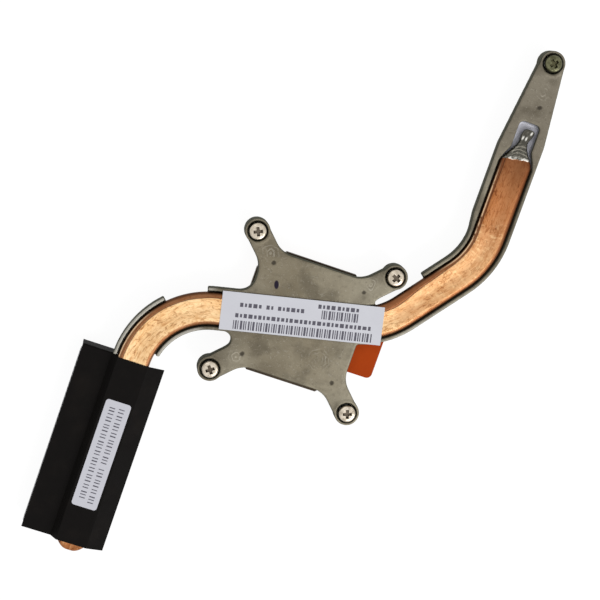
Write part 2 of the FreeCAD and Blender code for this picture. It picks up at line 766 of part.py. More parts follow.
def fold_shift(rise, run, thick):
    """Sideways shift of a fold's outer corner in a sheet of that thickness."""
    slope = rise / run
    return thick * (root(slope * slope + 1) - 1) / slope


def fin_cover_film():
    """Black film over the fins and the pipe, folded down over the front fin."""
    body = new_subpart("fin_cover_film")
    thick = S["film_thick"]
    top_left = pipe_fin_x - half_pipe + S["film_side"]
    top_right = pipe_fin_x + half_pipe - S["film_side"]
    foot_left = top_left - S["film_rise"]
    left_shift = fold_shift(S["pipe_thick"], S["film_rise"], thick)
    right_shift = fold_shift(S["pipe_thick"], fin_right - top_right, thick)
    sketch = new_sketch(body, "film_section", "XZ_Plane", -fin_front_y)
    outline(sketch, [
        (fin_left, floor_top, None),
        (foot_left, floor_top, None),
        (top_left, pipe_top, None),
        (top_right, pipe_top, None),
        (fin_right, floor_top, None),
        (fin_right + right_shift, floor_top + thick, None),
        (top_right + right_shift, pipe_top + thick, None),
        (top_left - left_shift, pipe_top + thick, None),
        (foot_left - left_shift, floor_top + thick, None),
        (fin_left, floor_top + thick, None),
    ])
    pad(body, sketch, S["fin_pack"])
    flap = new_sketch(body, "film_flap_outline", "XZ_Plane", -fin_front_y - thick)
    rectangle(flap, fin_left, foot_left - left_shift, floor_top + thick - S["film_flap"],
              floor_top + thick)
    pad(body, flap, thick)


def plate_label():
    body = new_subpart("plate_label")
    sketch = new_sketch(body, "plate_label_outline", offset=pipe_top)
    label_x = -S["plate_label_x"]
    middle_y = S["pipe_cpu_y"] + label_x * cpu_slope
    turned_rectangle(sketch, label_x, middle_y, S["plate_label_length"],
                     S["plate_label_width"], S["pipe_cpu_angle"])
    pad(body, sketch, S["label_thick"])


def fin_label():
    body = new_subpart("fin_label")
    half_x = S["fin_label_width"] / 2
    half_y = S["fin_label_length"] / 2
    sketch = new_sketch(body, "fin_label_outline", offset=pipe_top + S["film_thick"])
    label_y = fin_front_y - S["fin_label_y"]
    rectangle(sketch, pipe_fin_x - half_x, pipe_fin_x + half_x, label_y - half_y, label_y + half_y,
              S["fin_label_round"])
    pad(body, sketch, S["label_thick"])


def screw():
    """Pattern of a captive screw: cross-recessed head, thin shank, and a thicker threaded end."""
    body = new_body("screw")
    thread_top = S["boss_foot"] - S["ring_thick"] - S["ring_play"]
    profile = new_sketch(body, "screw_profile", "XZ_Plane")
    outline(profile, [
        (ZERO, fin_bottom, None),
        (S["thread_radius"], fin_bottom, None),
        (S["thread_radius"], thread_top, None),
        (S["waist_radius"], thread_top, None),
        (S["waist_radius"], head_under, None),
        (S["head_radius"], head_under, None),
        (S["head_radius"], head_top, None),
        (ZERO, head_top, None),
    ])
    turned = body.newObject("PartDesign::Revolution", "screw_turned")
    turned.Profile = profile
    turned.ReferenceAxis = (profile, ["V_Axis"])
    turned.Angle = FULL_TURN
    recess = new_sketch(body, "cross_recess", offset=head_top)
    long_half = S["recess_length"] / 2
    short_half = S["recess_width"] / 2
    corners = []
    for sign_x, sign_y in ((1, 1), (-1, 1), (-1, -1), (1, -1)):
        quarter = [
            (long_half * sign_x, short_half * sign_y, None),
            (short_half * sign_x, short_half * sign_y, None),
            (short_half * sign_x, long_half * sign_y, None),
        ]
        if sign_x * sign_y < 0:
            quarter.reverse()
        corners.extend(quarter)
    outline(recess, corners)
    pocket(body, recess, S["recess_depth"])
    return body


def open_ring():
    """Pattern of a retaining ring: a flat clip pushed onto the thin shank, under the boss."""
    body = new_body("open_ring")
    half = S["ring_half"]
    inside = S["waist_radius"] + S["ring_play"]
    plate = new_sketch(body, "ring_plate", offset=S["boss_foot"] - S["ring_thick"])
    rectangle(plate, -half, half, -half, half)
    pad(body, plate, S["ring_thick"])
    hole = new_sketch(body, "ring_hole", offset=S["boss_foot"])
    circle(hole, ZERO, ZERO, inside)
    pocket(body, hole, S["ring_thick"])
    mouth = new_sketch(body, "ring_mouth", offset=S["boss_foot"])
    rectangle(mouth, ZERO, half * 2, -inside, inside)
    pocket(body, mouth, S["ring_thick"])
    return body


def coil_spring():
    """Pattern of a compression spring between the well's floor and the screw's head."""
    body = new_body("coil_spring")
    half = S["spring_wire"] / 2
    climb = head_under - well_bottom - S["spring_wire"]
    steps = int(S["spring_turns"].value * S["coil_sides"].value)
    sections = []
    for step in range(steps + 1):
        section = new_sketch(body, f"coil_section_{step:02d}", "XZ_Plane")
        share = step / steps
        section.AttachmentOffset = FreeCAD.Placement(FreeCAD.Vector(), FreeCAD.Rotation(UPRIGHT, RIGHT_ANGLE))
        section.setExpression("AttachmentOffset.Rotation.Angle", (S["spring_turns"] * FULL_TURN * share).text)
        section.setExpression("AttachmentOffset.Base.y", (climb * share).text)
        rectangle(section, S["spring_radius"] - half, S["spring_radius"] + half, well_bottom,
                  well_bottom + S["spring_wire"])
        sections.append(section)
    loft(body, "coil", sections)
    return body


def check_document():
    """Stops if an object failed, a cut removed nothing, or a sub-part is not one valid solid."""
    for item in doc.Objects:
        if "Invalid" in item.State or "Error" in item.State:
            raise RuntimeError(f"{item.Name} failed: {item.State}")
        if item.TypeId in ("PartDesign::Pocket", "PartDesign::SubtractivePipe"):
            if item.Shape.Volume >= item.BaseFeature.Shape.Volume:
                raise RuntimeError(f"{item.Name} removed nothing")
    for body in SUBPARTS:
        shape = body.Shape
        if shape.isNull() or not shape.isValid() or len(shape.Solids) != 1:
            raise RuntimeError(f"{body.Label} is not one valid solid")


base_casting()
heat_pipe()
cpu_contact_plate()
cpu_thermal_pad()
release_liner()
arm_thermal_pad()
fin_cover_film()
plate_label()
fin_label()
fin_pattern = folded_fin()
for fin_number in range(1, int(S["fin_count"].value) + 1):
    copy_to(fin_pattern, f"fin_{fin_number:02d}", fin_left, first_fin_y - fin_pitch * fin_number)
screw_pattern = screw()
ring_pattern = open_ring()
spring_pattern = coil_spring()
for screw_number, (place_x, place_y) in enumerate(SCREW_PLACES, start=1):
    copy_to(screw_pattern, f"captive_screw_{screw_number}", place_x, place_y)
    copy_to(ring_pattern, f"retaining_ring_{screw_number}", place_x, place_y)
    copy_to(spring_pattern, f"screw_spring_{screw_number}", place_x, place_y)
doc.recompute()
check_document()

os.makedirs("parts", exist_ok=True)
for subpart in SUBPARTS:
    subpart.Shape.exportStep(f"parts/{subpart.Label}.step")
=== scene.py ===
"""Looks of the laptop heatsink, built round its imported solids. Metres, in the frame of the solids."""
import bpy
import math
from itertools import cycle
from mathutils import Matrix, Vector

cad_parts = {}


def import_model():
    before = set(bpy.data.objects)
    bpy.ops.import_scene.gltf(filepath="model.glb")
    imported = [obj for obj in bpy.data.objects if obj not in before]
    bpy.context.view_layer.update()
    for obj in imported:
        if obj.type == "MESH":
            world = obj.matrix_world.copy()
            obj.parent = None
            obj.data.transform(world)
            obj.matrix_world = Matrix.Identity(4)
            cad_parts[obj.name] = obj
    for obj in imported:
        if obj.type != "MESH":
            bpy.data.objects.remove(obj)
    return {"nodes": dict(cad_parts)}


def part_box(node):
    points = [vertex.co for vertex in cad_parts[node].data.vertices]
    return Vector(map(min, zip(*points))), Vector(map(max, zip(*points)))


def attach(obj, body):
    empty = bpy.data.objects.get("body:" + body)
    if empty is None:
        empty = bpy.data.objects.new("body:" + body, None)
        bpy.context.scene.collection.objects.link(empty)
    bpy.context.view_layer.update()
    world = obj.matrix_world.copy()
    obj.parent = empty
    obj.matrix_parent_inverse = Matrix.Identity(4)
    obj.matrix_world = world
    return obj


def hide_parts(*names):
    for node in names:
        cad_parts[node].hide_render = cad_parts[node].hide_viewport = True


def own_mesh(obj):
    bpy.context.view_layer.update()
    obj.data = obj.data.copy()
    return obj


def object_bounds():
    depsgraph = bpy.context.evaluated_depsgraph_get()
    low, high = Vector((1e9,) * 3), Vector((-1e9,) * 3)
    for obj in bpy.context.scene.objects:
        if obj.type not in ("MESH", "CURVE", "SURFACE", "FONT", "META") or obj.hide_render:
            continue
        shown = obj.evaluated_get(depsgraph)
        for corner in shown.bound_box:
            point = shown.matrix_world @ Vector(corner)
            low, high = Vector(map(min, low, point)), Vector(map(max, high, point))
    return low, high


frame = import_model()
nodes = frame["nodes"]
cad_low, cad_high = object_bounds()

MM = 0.001
BODY = "heatsink"
SCREW_NUMBERS = range(1, 6)
ARM_SCREW = 5
JOIN_REACH = 2e-6
FLAT_ANGLE = math.radians(1)
CAST_FLOW = 0.5
CAST_PASSES = 4
CORNERS = ((-1, -1), (1, -1), (1, 1), (-1, 1))
WHITE = (1.0, 1.0, 1.0, 1.0)


def srgb(red, green, blue):
    """A colour given as 0 to 255 on screen, as the linear values that shaders use."""
    linear = []
    for value in (red, green, blue):
        share = value / 255
        linear.append(share / 12.92 if share <= 0.04045 else ((share + 0.055) / 1.055) ** 2.4)
    return (*linear, 1.0)


# Colours of the surfaces, with painted shade and painted light among them
CAST_PALE = srgb(145, 138, 120)
CAST_GREY = srgb(107, 100, 85)
CAST_OLIVE = srgb(116, 109, 96)
CAST_BROWN = srgb(108, 97, 76)
CAST_STAIN = srgb(80, 73, 60)
CAST_SPECK = srgb(176, 170, 156)
# Painted shade of upright walls, on the casting and on the solder's sides
CAST_SIDE_SHADE = srgb(82, 83, 70)
# Pale bluish grey of the recess floor, painted lighter to offset its shade
CAST_FLOOR_LIT = srgb(184, 184, 192)
CAST_WALL_PALE = srgb(174, 171, 162)
PIT_DARK = srgb(46, 41, 33)
INK_VIOLET = srgb(16, 6, 34)
COPPER_PALE = srgb(238, 202, 154)
COPPER_WARM = srgb(206, 160, 114)
COPPER_DEEP = srgb(169, 113, 71)
COPPER_DARK = srgb(124, 79, 48)
COPPER_GLINT = srgb(255, 226, 172)
# Painted highlight line on the pipe's rounded side
COPPER_HIGHLIGHT = srgb(255, 214, 168)
# Painted shade along the pipe's sides: brown band, dark outer edge and dark crease line
COPPER_SIDE_SHADE = srgb(113, 65, 36)
COPPER_EDGE_SHADE = srgb(62, 35, 19)
COPPER_CREASE_SHADE = srgb(52, 26, 15)
PLATE_OXIDE_SHADE = srgb(46, 43, 36)
SOLDER_GREY = srgb(76, 74, 67)
SOLDER_PALE = srgb(106, 104, 95)
# Painted highlights on the solder
SOLDER_HIGHLIGHT = srgb(236, 234, 226)
FILM_BLACK = srgb(15, 13, 12)
FILM_DUST = srgb(21, 18, 16)
LABEL_PAPER = srgb(204, 205, 211)
LABEL_SHADE = srgb(196, 196, 203)
LABEL_DULL = srgb(192, 192, 200)
PRINT_DARK = srgb(66, 64, 74)
PRINT_WORN = srgb(104, 102, 112)
LINER_ORANGE = srgb(172, 66, 15)
LINER_DEEP = srgb(152, 55, 11)
NICKEL = srgb(214, 203, 186)
NICKEL_DULL = srgb(170, 158, 140)
# Dirt and painted shade in the cross recesses of the screw heads
RECESS_GRIME_SHADE = srgb(64, 52, 40)
OLIVE_GRIME_SHADE = srgb(78, 75, 54)
OLIVE_STEEL = srgb(109, 108, 83)
OLIVE_DULL = srgb(73, 72, 53)
STEEL = srgb(150, 148, 144)
STEEL_DARK = srgb(96, 94, 92)
FIN_BRIGHT = srgb(186, 186, 188)
FIN_DULL = srgb(146, 146, 150)
FIN_SEAM_SHADE = srgb(58, 58, 60)
PAD_GREY = srgb(138, 140, 146)
PAD_LIGHT = srgb(160, 162, 168)


def put(tree, socket, value):
    """Links a socket to a socket, or sets it to a number, colour or vector."""
    if isinstance(value, bpy.types.NodeSocket):
        tree.links.new(value, socket)
    else:
        socket.default_value = value


def add_node(tree, kind, *inputs, **settings):
    """A new node with its settings and the first of its inputs."""
    made = tree.nodes.new(kind)
    for name, value in settings.items():
        setattr(made, name, value)
    for socket, value in zip(made.inputs, inputs):
        put(tree, socket, value)
    return made


class Shader:
    """A node material with short calls for the few nodes that the surfaces here need."""

    def __init__(self, name, roughness=0.5, metallic=0.0):
        self.material = bpy.data.materials.new(name)
        self.material.use_nodes = True
        self.tree = self.material.node_tree
        self.sockets = self.tree.nodes["Principled BSDF"].inputs
        self.set("Roughness", roughness)
        self.set("Metallic", metallic)
        self.place = self.node("ShaderNodeTexCoord").outputs["Object"]

    def set(self, name, value):
        """Sets or links an input of the surface."""
        put(self.tree, self.sockets[name], value)

    def node(self, kind, *inputs, **settings):
        return add_node(self.tree, kind, *inputs, **settings)

    def noise(self, scale, detail=4.0, stretch=(1, 1, 1), place=None, swirl=0.0):
        """Noise with about that many features to a metre."""
        mapping = self.node("ShaderNodeMapping", place or self.place)
        mapping.inputs["Scale"].default_value = stretch
        made = self.node("ShaderNodeTexNoise", mapping.outputs["Vector"])
        for name, value in (("Scale", scale), ("Detail", detail), ("Distortion", swirl)):
            made.inputs[name].default_value = value
        return made.outputs["Fac"]

    def math(self, operation, first, second=0.0):
        return self.node("ShaderNodeMath", first, second, operation=operation).outputs["Value"]

    def plus(self, first, second):
        return self.math("ADD", first, second)

    def minus(self, first, second):
        return self.math("SUBTRACT", first, second)

    def times(self, first, second):
        return self.math("MULTIPLY", first, second)

    def over(self, first, second):
        return self.math("DIVIDE", first, second)

    def larger(self, first, second):
        return self.math("MAXIMUM", first, second)

    def positive(self, value):
        return self.math("ABSOLUTE", value)

    def waves(self, value, pitch):
        """Sine waves along a value, one to each pitch."""
        return self.math("SINE", self.times(value, 2 * math.pi / pitch))

    def step(self, value, low, high):
        """Smooth step from 0 at low to 1 at high."""
        made = self.node("ShaderNodeMapRange", value, low, high, interpolation_type="SMOOTHSTEP")
        return made.outputs["Result"]

    def span(self, value, low, high):
        """A number from 0 to 1 as one from low to high."""
        return self.node("ShaderNodeMapRange", value, 0.0, 1.0, low, high).outputs["Result"]

    def mix(self, factor, first, second, blend="MIX"):
        """The first colour where the factor is 0, the second where it is 1."""
        made = self.node("ShaderNodeMix", factor, data_type="RGBA", blend_type=blend)
        colours = [socket for socket in made.inputs if socket.type == "RGBA"]
        put(self.tree, colours[0], first)
        put(self.tree, colours[1], second)
        return next(socket for socket in made.outputs if socket.type == "RGBA")

    def layer(self, under, over, mask, strength):
        """A colour laid over another where a mask is 1, as strongly as a number from 0 to 1 says."""
        return self.mix(self.times(mask, strength), under, over)

    def tint(self, colour, shares, mask, strength):
        """A colour with each of its parts cut to a share where a mask is 1."""
        return self.mix(self.times(mask, strength), colour, (*shares, 1.0), "MULTIPLY")

    def split(self, vector):
        """X, Y and Z of a vector."""
        made = self.node("ShaderNodeSeparateXYZ", vector).outputs
        return made["X"], made["Y"], made["Z"]

    def axes(self):
        """X, Y and Z of the place on the object."""
        return self.split(self.place)

    def facing_up(self):
        """How far the surface faces up: 1 on flat tops, 0 on upright walls, -1 on undersides."""
        return self.split(self.node("ShaderNodeNewGeometry").outputs["Normal"])[2]

    def attribute(self, name):
        """A number that the mesh carries."""
        return self.node("ShaderNodeAttribute", attribute_name=name).outputs["Fac"]

    def band(self, value, low, high, soft):
        """1 between low and high, fading over a soft width at both."""
        rising = self.step(value, low - soft, low + soft)
        falling = self.step(value, high + soft, high - soft)
        return self.times(rising, falling)

    def veins(self, field, width):
        """Thin meandering lines where a noise field passes through its middle value."""
        away = self.positive(self.minus(field, 0.5))
        return self.step(away, width, 0.2 * width)

    def shine(self, level):
        self.set("Specular IOR Level", level)

    def colour(self, value):
        self.set("Base Color", value)

    def roughness(self, factor, low, high):
        self.set("Roughness", self.span(factor, low, high))

    def bump(self, height, strength, distance):
        made = self.node("ShaderNodeBump")
        for name, value in (("Strength", strength), ("Distance", distance), ("Height", height)):
            put(self.tree, made.inputs[name], value)
        self.set("Normal", made.outputs["Normal"])


def dress(piece, shader):
    """Gives a piece one material."""
    piece.data.materials.clear()
    piece.data.materials.append(shader.material)


def join_faces(piece):
    """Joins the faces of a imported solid, which come apart at each edge."""
    weld = piece.modifiers.new("joined_faces", "WELD")
    weld.merge_threshold = JOIN_REACH


def soften(piece, width, segments=2, angle=30):
    """Rounds the sharp edges of a solid by modifiers."""
    join_faces(piece)
    flats = piece.modifiers.new("whole_flats", "DECIMATE")
    flats.decimate_type = "DISSOLVE"
    flats.angle_limit = FLAT_ANGLE
    bevel = piece.modifiers.new("soft_edges", "BEVEL")
    bevel.width = width
    bevel.segments = segments
    bevel.limit_method = "ANGLE"
    bevel.angle_limit = math.radians(angle)


def cast_over(piece, grain):
    """Gives a solid the soft edges and corners of a die casting by modifiers."""
    join_faces(piece)
    skin = piece.modifiers.new("cast_skin", "REMESH")
    skin.mode = "VOXEL"
    skin.voxel_size = grain
    skin.use_smooth_shade = True
    flow = piece.modifiers.new("soft_edges", "SMOOTH")
    flow.factor = CAST_FLOW
    flow.iterations = CAST_PASSES


def new_piece(name, mesh, body=BODY):
    """An object of the model that rides on a body."""
    piece = bpy.data.objects.new(name, mesh)
    bpy.context.scene.collection.objects.link(piece)
    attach(piece, body)
    return piece


def mesh_from(name, points, faces, smooth=True):
    """A mesh of points and faces, with smooth or flat shading."""
    mesh = bpy.data.meshes.new(name)
    mesh.from_pydata(points, [], faces)
    mesh.validate()
    mesh.polygons.foreach_set("use_smooth", [smooth] * len(mesh.polygons))
    mesh.update()
    return mesh


def add_tube(points, faces, rings):
    """Adds a closed tube of rings that have the same number of points."""
    size = len(rings[0])
    start = len(points)
    for ring in rings:
        points += ring
    for low in range(start, len(points) - size, size):
        for i in range(size):
            j = (i + 1) % size
            faces.append((low + i, low + j, low + size + j, low + size + i))
    faces.append(tuple(reversed(range(start, start + size))))
    faces.append(tuple(range(len(points) - size, len(points))))


def tube_mesh(name, *tubes, smooth=True):
    """One mesh of closed tubes, each given as its rings."""
    points = []
    faces = []
    for rings in tubes:
        add_tube(points, faces, rings)
    return mesh_from(name, points, faces, smooth)


def centre_of(node):
    """Middle of a node's box."""
    low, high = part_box(node)
    return (low + high) / 2


def distance_from(shader, x, y, stretch=1.0, angle=0.0, wobble=0.0):
    """Distance in plan from a point in millimetres, shortened along one direction and made uneven."""
    place_x, place_y, _ = shader.axes()
    aside = shader.minus(shader.over(place_x, MM), x)
    ahead = shader.minus(shader.over(place_y, MM), y)
    cos, sin = math.cos(angle), math.sin(angle)
    along = shader.plus(shader.times(aside, -sin), shader.times(ahead, cos))
    across = shader.plus(shader.times(aside, cos), shader.times(ahead, sin))
    along = shader.over(along, stretch)
    squares = shader.plus(shader.times(across, across), shader.times(along, along))
    distance = shader.math("SQRT", squares)
    return shader.plus(distance, shader.span(shader.noise(500, 3), -wobble, wobble))


def dot_mask(shader, x, y, radius, soft, stretch=1.0, angle=0.0, wobble=0.0):
    """1 inside a round or oval mark on the top faces, 0 outside. Millimetres."""
    distance = distance_from(shader, x, y, stretch, angle, wobble)
    return shader.step(distance, radius + soft, radius - soft)


def most(shader, masks):
    """The highest of several masks."""
    result = masks[0]
    for mask in masks[1:]:
        result = shader.larger(result, mask)
    return result


# Marks on the top of the casting, in millimetres: middle, then radius and strength where they differ
EJECTOR_MARKS = [(-15.6, -15.8), (15.6, -15.8), (15.6, 15.8), (-15.6, 15.8), (49.4, 91.0)]
EJECTOR_RADIUS = 0.65
STAINS = [(-3.0, -6.0, 15.0, 0.4), (-13.0, 16.0, 10.0, 0.5), (3.0, 14.0, 9.0, 0.3), (11.0, -12.0, 9.0, 0.3)]
STAIN_FADE = 6.0
FLOW_RINGS = [
    (9.0, -10.0, 5.0),
    (17.0, 19.0, 3.0),
    (-17.5, 18.5, 3.6),
    (49.0, 96.0, 3.2),
    (-17.0, -17.5, 3.0),
]
RING_PITCH = 1.1
INK_PLACE = (-12.3, 9.2)
INK_RADIUS = 0.75
INK_STRETCH = 1.9
INK_ANGLE = math.radians(18)
# Recess round the filling tip, in metres: its sides, ends and lowest heights, and depths where it starts
RECESS_SIDES = (43.5 * MM, 54.3 * MM)
RECESS_ENDS = (71 * MM, 87.5 * MM)
RECESS_FADE = 0.5 * MM
RECESS_LOW = (2.8 * MM, 3.3 * MM)
RECESS_DEPTHS = (0.9 * MM, 2.0 * MM)
# Where walls are paler, in metres: past a limit on the left, and past a slanted line on the right
PALE_LEFT = (-29 * MM, -33 * MM)
PALE_RIGHT = (24 * MM, 28 * MM)
PALE_SLANT = 0.87
PALE_BACK = (-9 * MM, -5 * MM)
# Where the arm turns more olive than the plate, along Y in metres
OLIVE_REACH = (20 * MM, 90 * MM)


def flow_rings(shader):
    """Faint rings where metal swirled as it set."""
    rings = []
    for x, y, radius in FLOW_RINGS:
        distance = distance_from(shader, x, y, wobble=1.2)
        wave = shader.span(shader.waves(distance, RING_PITCH), 0.0, 0.5)
        rings.append(shader.times(wave, shader.step(distance, radius, 0.5 * radius)))
    return shader.times(most(shader, rings), shader.step(shader.noise(260, 3), 0.4, 0.6))


def pale_walls(shader):
    """1 on the trough walls beside the plate, which are paler than the rest."""
    aside, along, _ = shader.axes()
    left = shader.step(aside, *PALE_LEFT)
    beside = shader.step(shader.minus(aside, shader.times(along, PALE_SLANT)), *PALE_RIGHT)
    right = shader.times(beside, shader.step(along, *PALE_BACK))
    return shader.larger(left, shader.times(right, 0.75))


def recess_light_mask(shader):
    """1 on the floor and walls of the recess round the filling tip, where painted light offsets the shade of
    the deep recess.
    """
    aside, along, height = shader.axes()
    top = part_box("base_casting")[1].z
    mask = shader.step(height, *(top - depth for depth in RECESS_DEPTHS))
    mask = shader.times(mask, shader.step(height, *RECESS_LOW))
    mask = shader.times(mask, shader.band(along, *RECESS_ENDS, RECESS_FADE))
    return shader.times(mask, shader.band(aside, *RECESS_SIDES, RECESS_FADE))


def cast_metal():
    """Die-cast alloy with clouds, stains, fine grain and the marks of its mould, painted shade on its upright
    walls and painted light in the recess round the filling tip.
    """
    shader = Shader("cast_metal", roughness=0.5, metallic=0.35)
    cloudy = shader.noise(48, 6)
    stained = shader.noise(130, 7)
    streaky = shader.noise(420, 5, stretch=(0.3, 1, 1))
    mottled = shader.noise(800, 6)
    grain = shader.noise(2800, 3)
    _, along, _ = shader.axes()
    colour = shader.mix(shader.step(cloudy, 0.35, 0.65), CAST_GREY, CAST_PALE)
    colour = shader.layer(colour, CAST_OLIVE, shader.step(along, *OLIVE_REACH), 0.75)
    for x, y, radius, strength in STAINS:
        stain = dot_mask(shader, x, y, radius, STAIN_FADE, wobble=3.0)
        colour = shader.layer(colour, CAST_BROWN, stain, strength)
    colour = shader.layer(colour, CAST_STAIN, shader.step(stained, 0.48, 0.7), 0.55)
    colour = shader.layer(colour, CAST_STAIN, shader.step(streaky, 0.5, 0.75), 0.25)
    colour = shader.layer(colour, CAST_STAIN, shader.step(mottled, 0.52, 0.75), 0.35)
    colour = shader.layer(colour, CAST_SPECK, shader.step(grain, 0.6, 0.75), 0.35)
    scuffs = shader.veins(shader.noise(300, 4, swirl=0.8), 0.02)
    scuffs = shader.times(scuffs, shader.step(mottled, 0.5, 0.62))
    colour = shader.layer(colour, CAST_SPECK, scuffs, 0.3)
    colour = shader.layer(colour, CAST_WALL_PALE, pale_walls(shader), 0.7)
    # Painted light: the recess floor is paler and lighter still against its shade, and its walls keep little
    # of the painted side shade
    recess_lit = recess_light_mask(shader)
    colour = shader.layer(colour, CAST_FLOOR_LIT, recess_lit, 0.95)
    rings = flow_rings(shader)
    colour = shader.layer(colour, CAST_SPECK, rings, 0.85)
    # Painted shade: upright walls darkened toward the side colour, less in the recess; they are also rougher
    level = shader.positive(shader.facing_up())
    wall_shade = shader.minus(shader.step(level, 0.93, 0.5), shader.times(recess_lit, 0.85))
    wall_shade = shader.larger(wall_shade, 0.0)
    colour = shader.layer(colour, CAST_SIDE_SHADE, wall_shade, 0.92)
    spots = [dot_mask(shader, x, y, EJECTOR_RADIUS, 0.35, wobble=0.5) for x, y in EJECTOR_MARKS]
    pits = most(shader, spots)
    colour = shader.layer(colour, PIT_DARK, pits, 0.85)
    ink = dot_mask(shader, *INK_PLACE, INK_RADIUS, 0.15, INK_STRETCH, INK_ANGLE)
    colour = shader.layer(colour, INK_VIOLET, ink, 0.95)
    shader.colour(colour)
    shader.shine(0.15)
    rough = shader.plus(shader.span(mottled, 0.4, 0.62), shader.times(wall_shade, 0.35))
    shader.set("Roughness", rough)
    relief = shader.plus(shader.times(grain, 0.4), shader.plus(mottled, rings))
    shader.bump(shader.minus(relief, shader.times(pits, 4.0)), 0.7, 0.08 * MM)
    return shader


def contact_copper():
    """Contact plate: bright copper face below, dark above from oxide and painted shade."""
    shader = Shader("contact_copper", roughness=0.4, metallic=0.9)
    cloudy = shader.noise(160, 5)
    colour = shader.mix(shader.step(cloudy, 0.35, 0.7), COPPER_DEEP, COPPER_WARM)
    # Oxide and painted shade: the top and edges that peek out under the casting are darkened
    oxide_and_shade = shader.step(shader.facing_up(), -0.6, -0.1)
    shader.colour(shader.layer(colour, PLATE_OXIDE_SHADE, oxide_and_shade, 0.96))
    shader.roughness(shader.noise(900, 4), 0.3, 0.55)
    shader.bump(shader.noise(2200, 3), 0.25, 0.03 * MM)
    return shader


def fin_metal():
    """Bare sheet with painted shade at the seam where the fold of one fin meets the next."""
    shader = Shader("fin_metal", roughness=0.4, metallic=0.9)
    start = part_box("fin_01")[0].y
    pitch = abs(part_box("fin_02")[0].y - start)
    _, along, _ = shader.axes()
    turns = shader.over(shader.minus(along, start), pitch)
    away = shader.positive(shader.minus(shader.math("FRACT", turns), 0.5))
    level = shader.positive(shader.facing_up())
    # Painted shade in the fold between one fin's flange and the next
    seam = shader.times(shader.step(away, 0.38, 0.46), shader.step(level, 0.5, 0.8))
    colour = shader.mix(shader.noise(240, 5), FIN_DULL, FIN_BRIGHT)
    shader.colour(shader.layer(colour, FIN_SEAM_SHADE, seam, 0.8))
    shader.roughness(shader.noise(800, 4), 0.3, 0.5)
    shader.bump(shader.noise(1800, 3, stretch=(1, 1, 6)), 0.2, 0.03 * MM)
    return shader


def film_plastic():
    """Dull black film with a little dust and faint ripples."""
    shader = Shader("film_plastic", roughness=0.6)
    shader.shine(0.05)
    dust = shader.noise(140, 6)
    shader.colour(shader.mix(shader.step(dust, 0.45, 0.8), FILM_BLACK, FILM_DUST))
    shader.roughness(shader.noise(500, 4), 0.5, 0.72)
    ripples = shader.noise(60, 3, stretch=(3, 1, 1))
    shader.bump(shader.plus(ripples, shader.times(shader.noise(1500, 3), 0.15)), 0.4, 0.3 * MM)
    return shader


def label_paper(name, bright, shade):
    """Label paper of slightly uneven colour."""
    shader = Shader(name, roughness=0.5)
    shader.shine(0.2)
    shader.colour(shader.mix(shader.noise(180, 5), shade, bright))
    shader.roughness(shader.noise(700, 4), 0.42, 0.6)
    shader.bump(shader.noise(3000, 3), 0.15, 0.02 * MM)
    return shader


def label_print():
    """Worn ink."""
    shader = Shader("label_print", roughness=0.6)
    shader.shine(0.2)
    shader.colour(shader.mix(shader.noise(2400, 4), PRINT_DARK, PRINT_WORN))
    return shader


def liner_film():
    """Orange film of the release liner."""
    shader = Shader("liner_film", roughness=0.4)
    shader.shine(0.04)
    shader.colour(shader.mix(shader.noise(120, 5), LINER_DEEP, LINER_ORANGE))
    shader.roughness(shader.noise(400, 4), 0.4, 0.6)
    shader.bump(shader.noise(220, 4), 0.2, 0.1 * MM)
    return shader


def soft_pad():
    """Soft grey filler of the thermal pads."""
    shader = Shader("soft_pad", roughness=0.85)
    shader.colour(shader.mix(shader.noise(900, 6), PAD_GREY, PAD_LIGHT))
    shader.bump(shader.noise(1600, 5), 0.4, 0.08 * MM)
    return shader


def plated_metal(name, bright, dull, smooth, rough, grime_shade=RECESS_GRIME_SHADE):
    """Plated or bare steel, worn in patches, with dirt and painted shade in a screw's cross recess where the
    mesh carries them.
    """
    shader = Shader(name, roughness=rough, metallic=1.0)
    worn = shader.noise(600, 5)
    colour = shader.mix(shader.step(worn, 0.35, 0.75), bright, dull)
    shader.colour(shader.mix(shader.attribute("grime_shade"), colour, grime_shade))
    shader.roughness(shader.noise(1500, 4), smooth, rough)
    shader.bump(shader.noise(3500, 3), 0.2, 0.02 * MM)
    return shader


# Axis of the heat pipe in plan, as in the source: corners, bend and ends, in millimetres
PIPE_BEND = 25.0
PIPE_FIN_X = -48.1
PIPE_CROSS_Y = 1.65
PIPE_SLANT = math.radians(12.5)
PIPE_SLOPE = math.tan(PIPE_SLANT)
PIPE_KNEE_X = 24.6
PIPE_RISE = math.tan(math.radians(52))
PIPE_ARM_X = 48.6
PIPE_END_Y = -91.6
PIPE_SHOULDER_Y = 70.6
PIPE_WIDTH = 10.9
PIPE_THICK = 3.0
PIPE_MIDDLE_Z = 5.1
KNEE_Y = PIPE_CROSS_Y + PIPE_KNEE_X * PIPE_SLOPE
PIPE_CORNERS = [
    (PIPE_FIN_X, PIPE_END_Y),
    (PIPE_FIN_X, PIPE_CROSS_Y + PIPE_FIN_X * PIPE_SLOPE),
    (PIPE_KNEE_X, KNEE_Y),
    (PIPE_ARM_X, KNEE_Y + (PIPE_ARM_X - PIPE_KNEE_X) * PIPE_RISE),
    (PIPE_ARM_X, PIPE_SHOULDER_Y),
]
PIPE_STEP = 0.8


def straight(start, end):
    """Points and directions along a straight run, the end left out."""
    run = end - start
    count = max(2, int(run.length / PIPE_STEP))
    way = run.normalized()
    return [(start + run * (i / count), way) for i in range(count)]


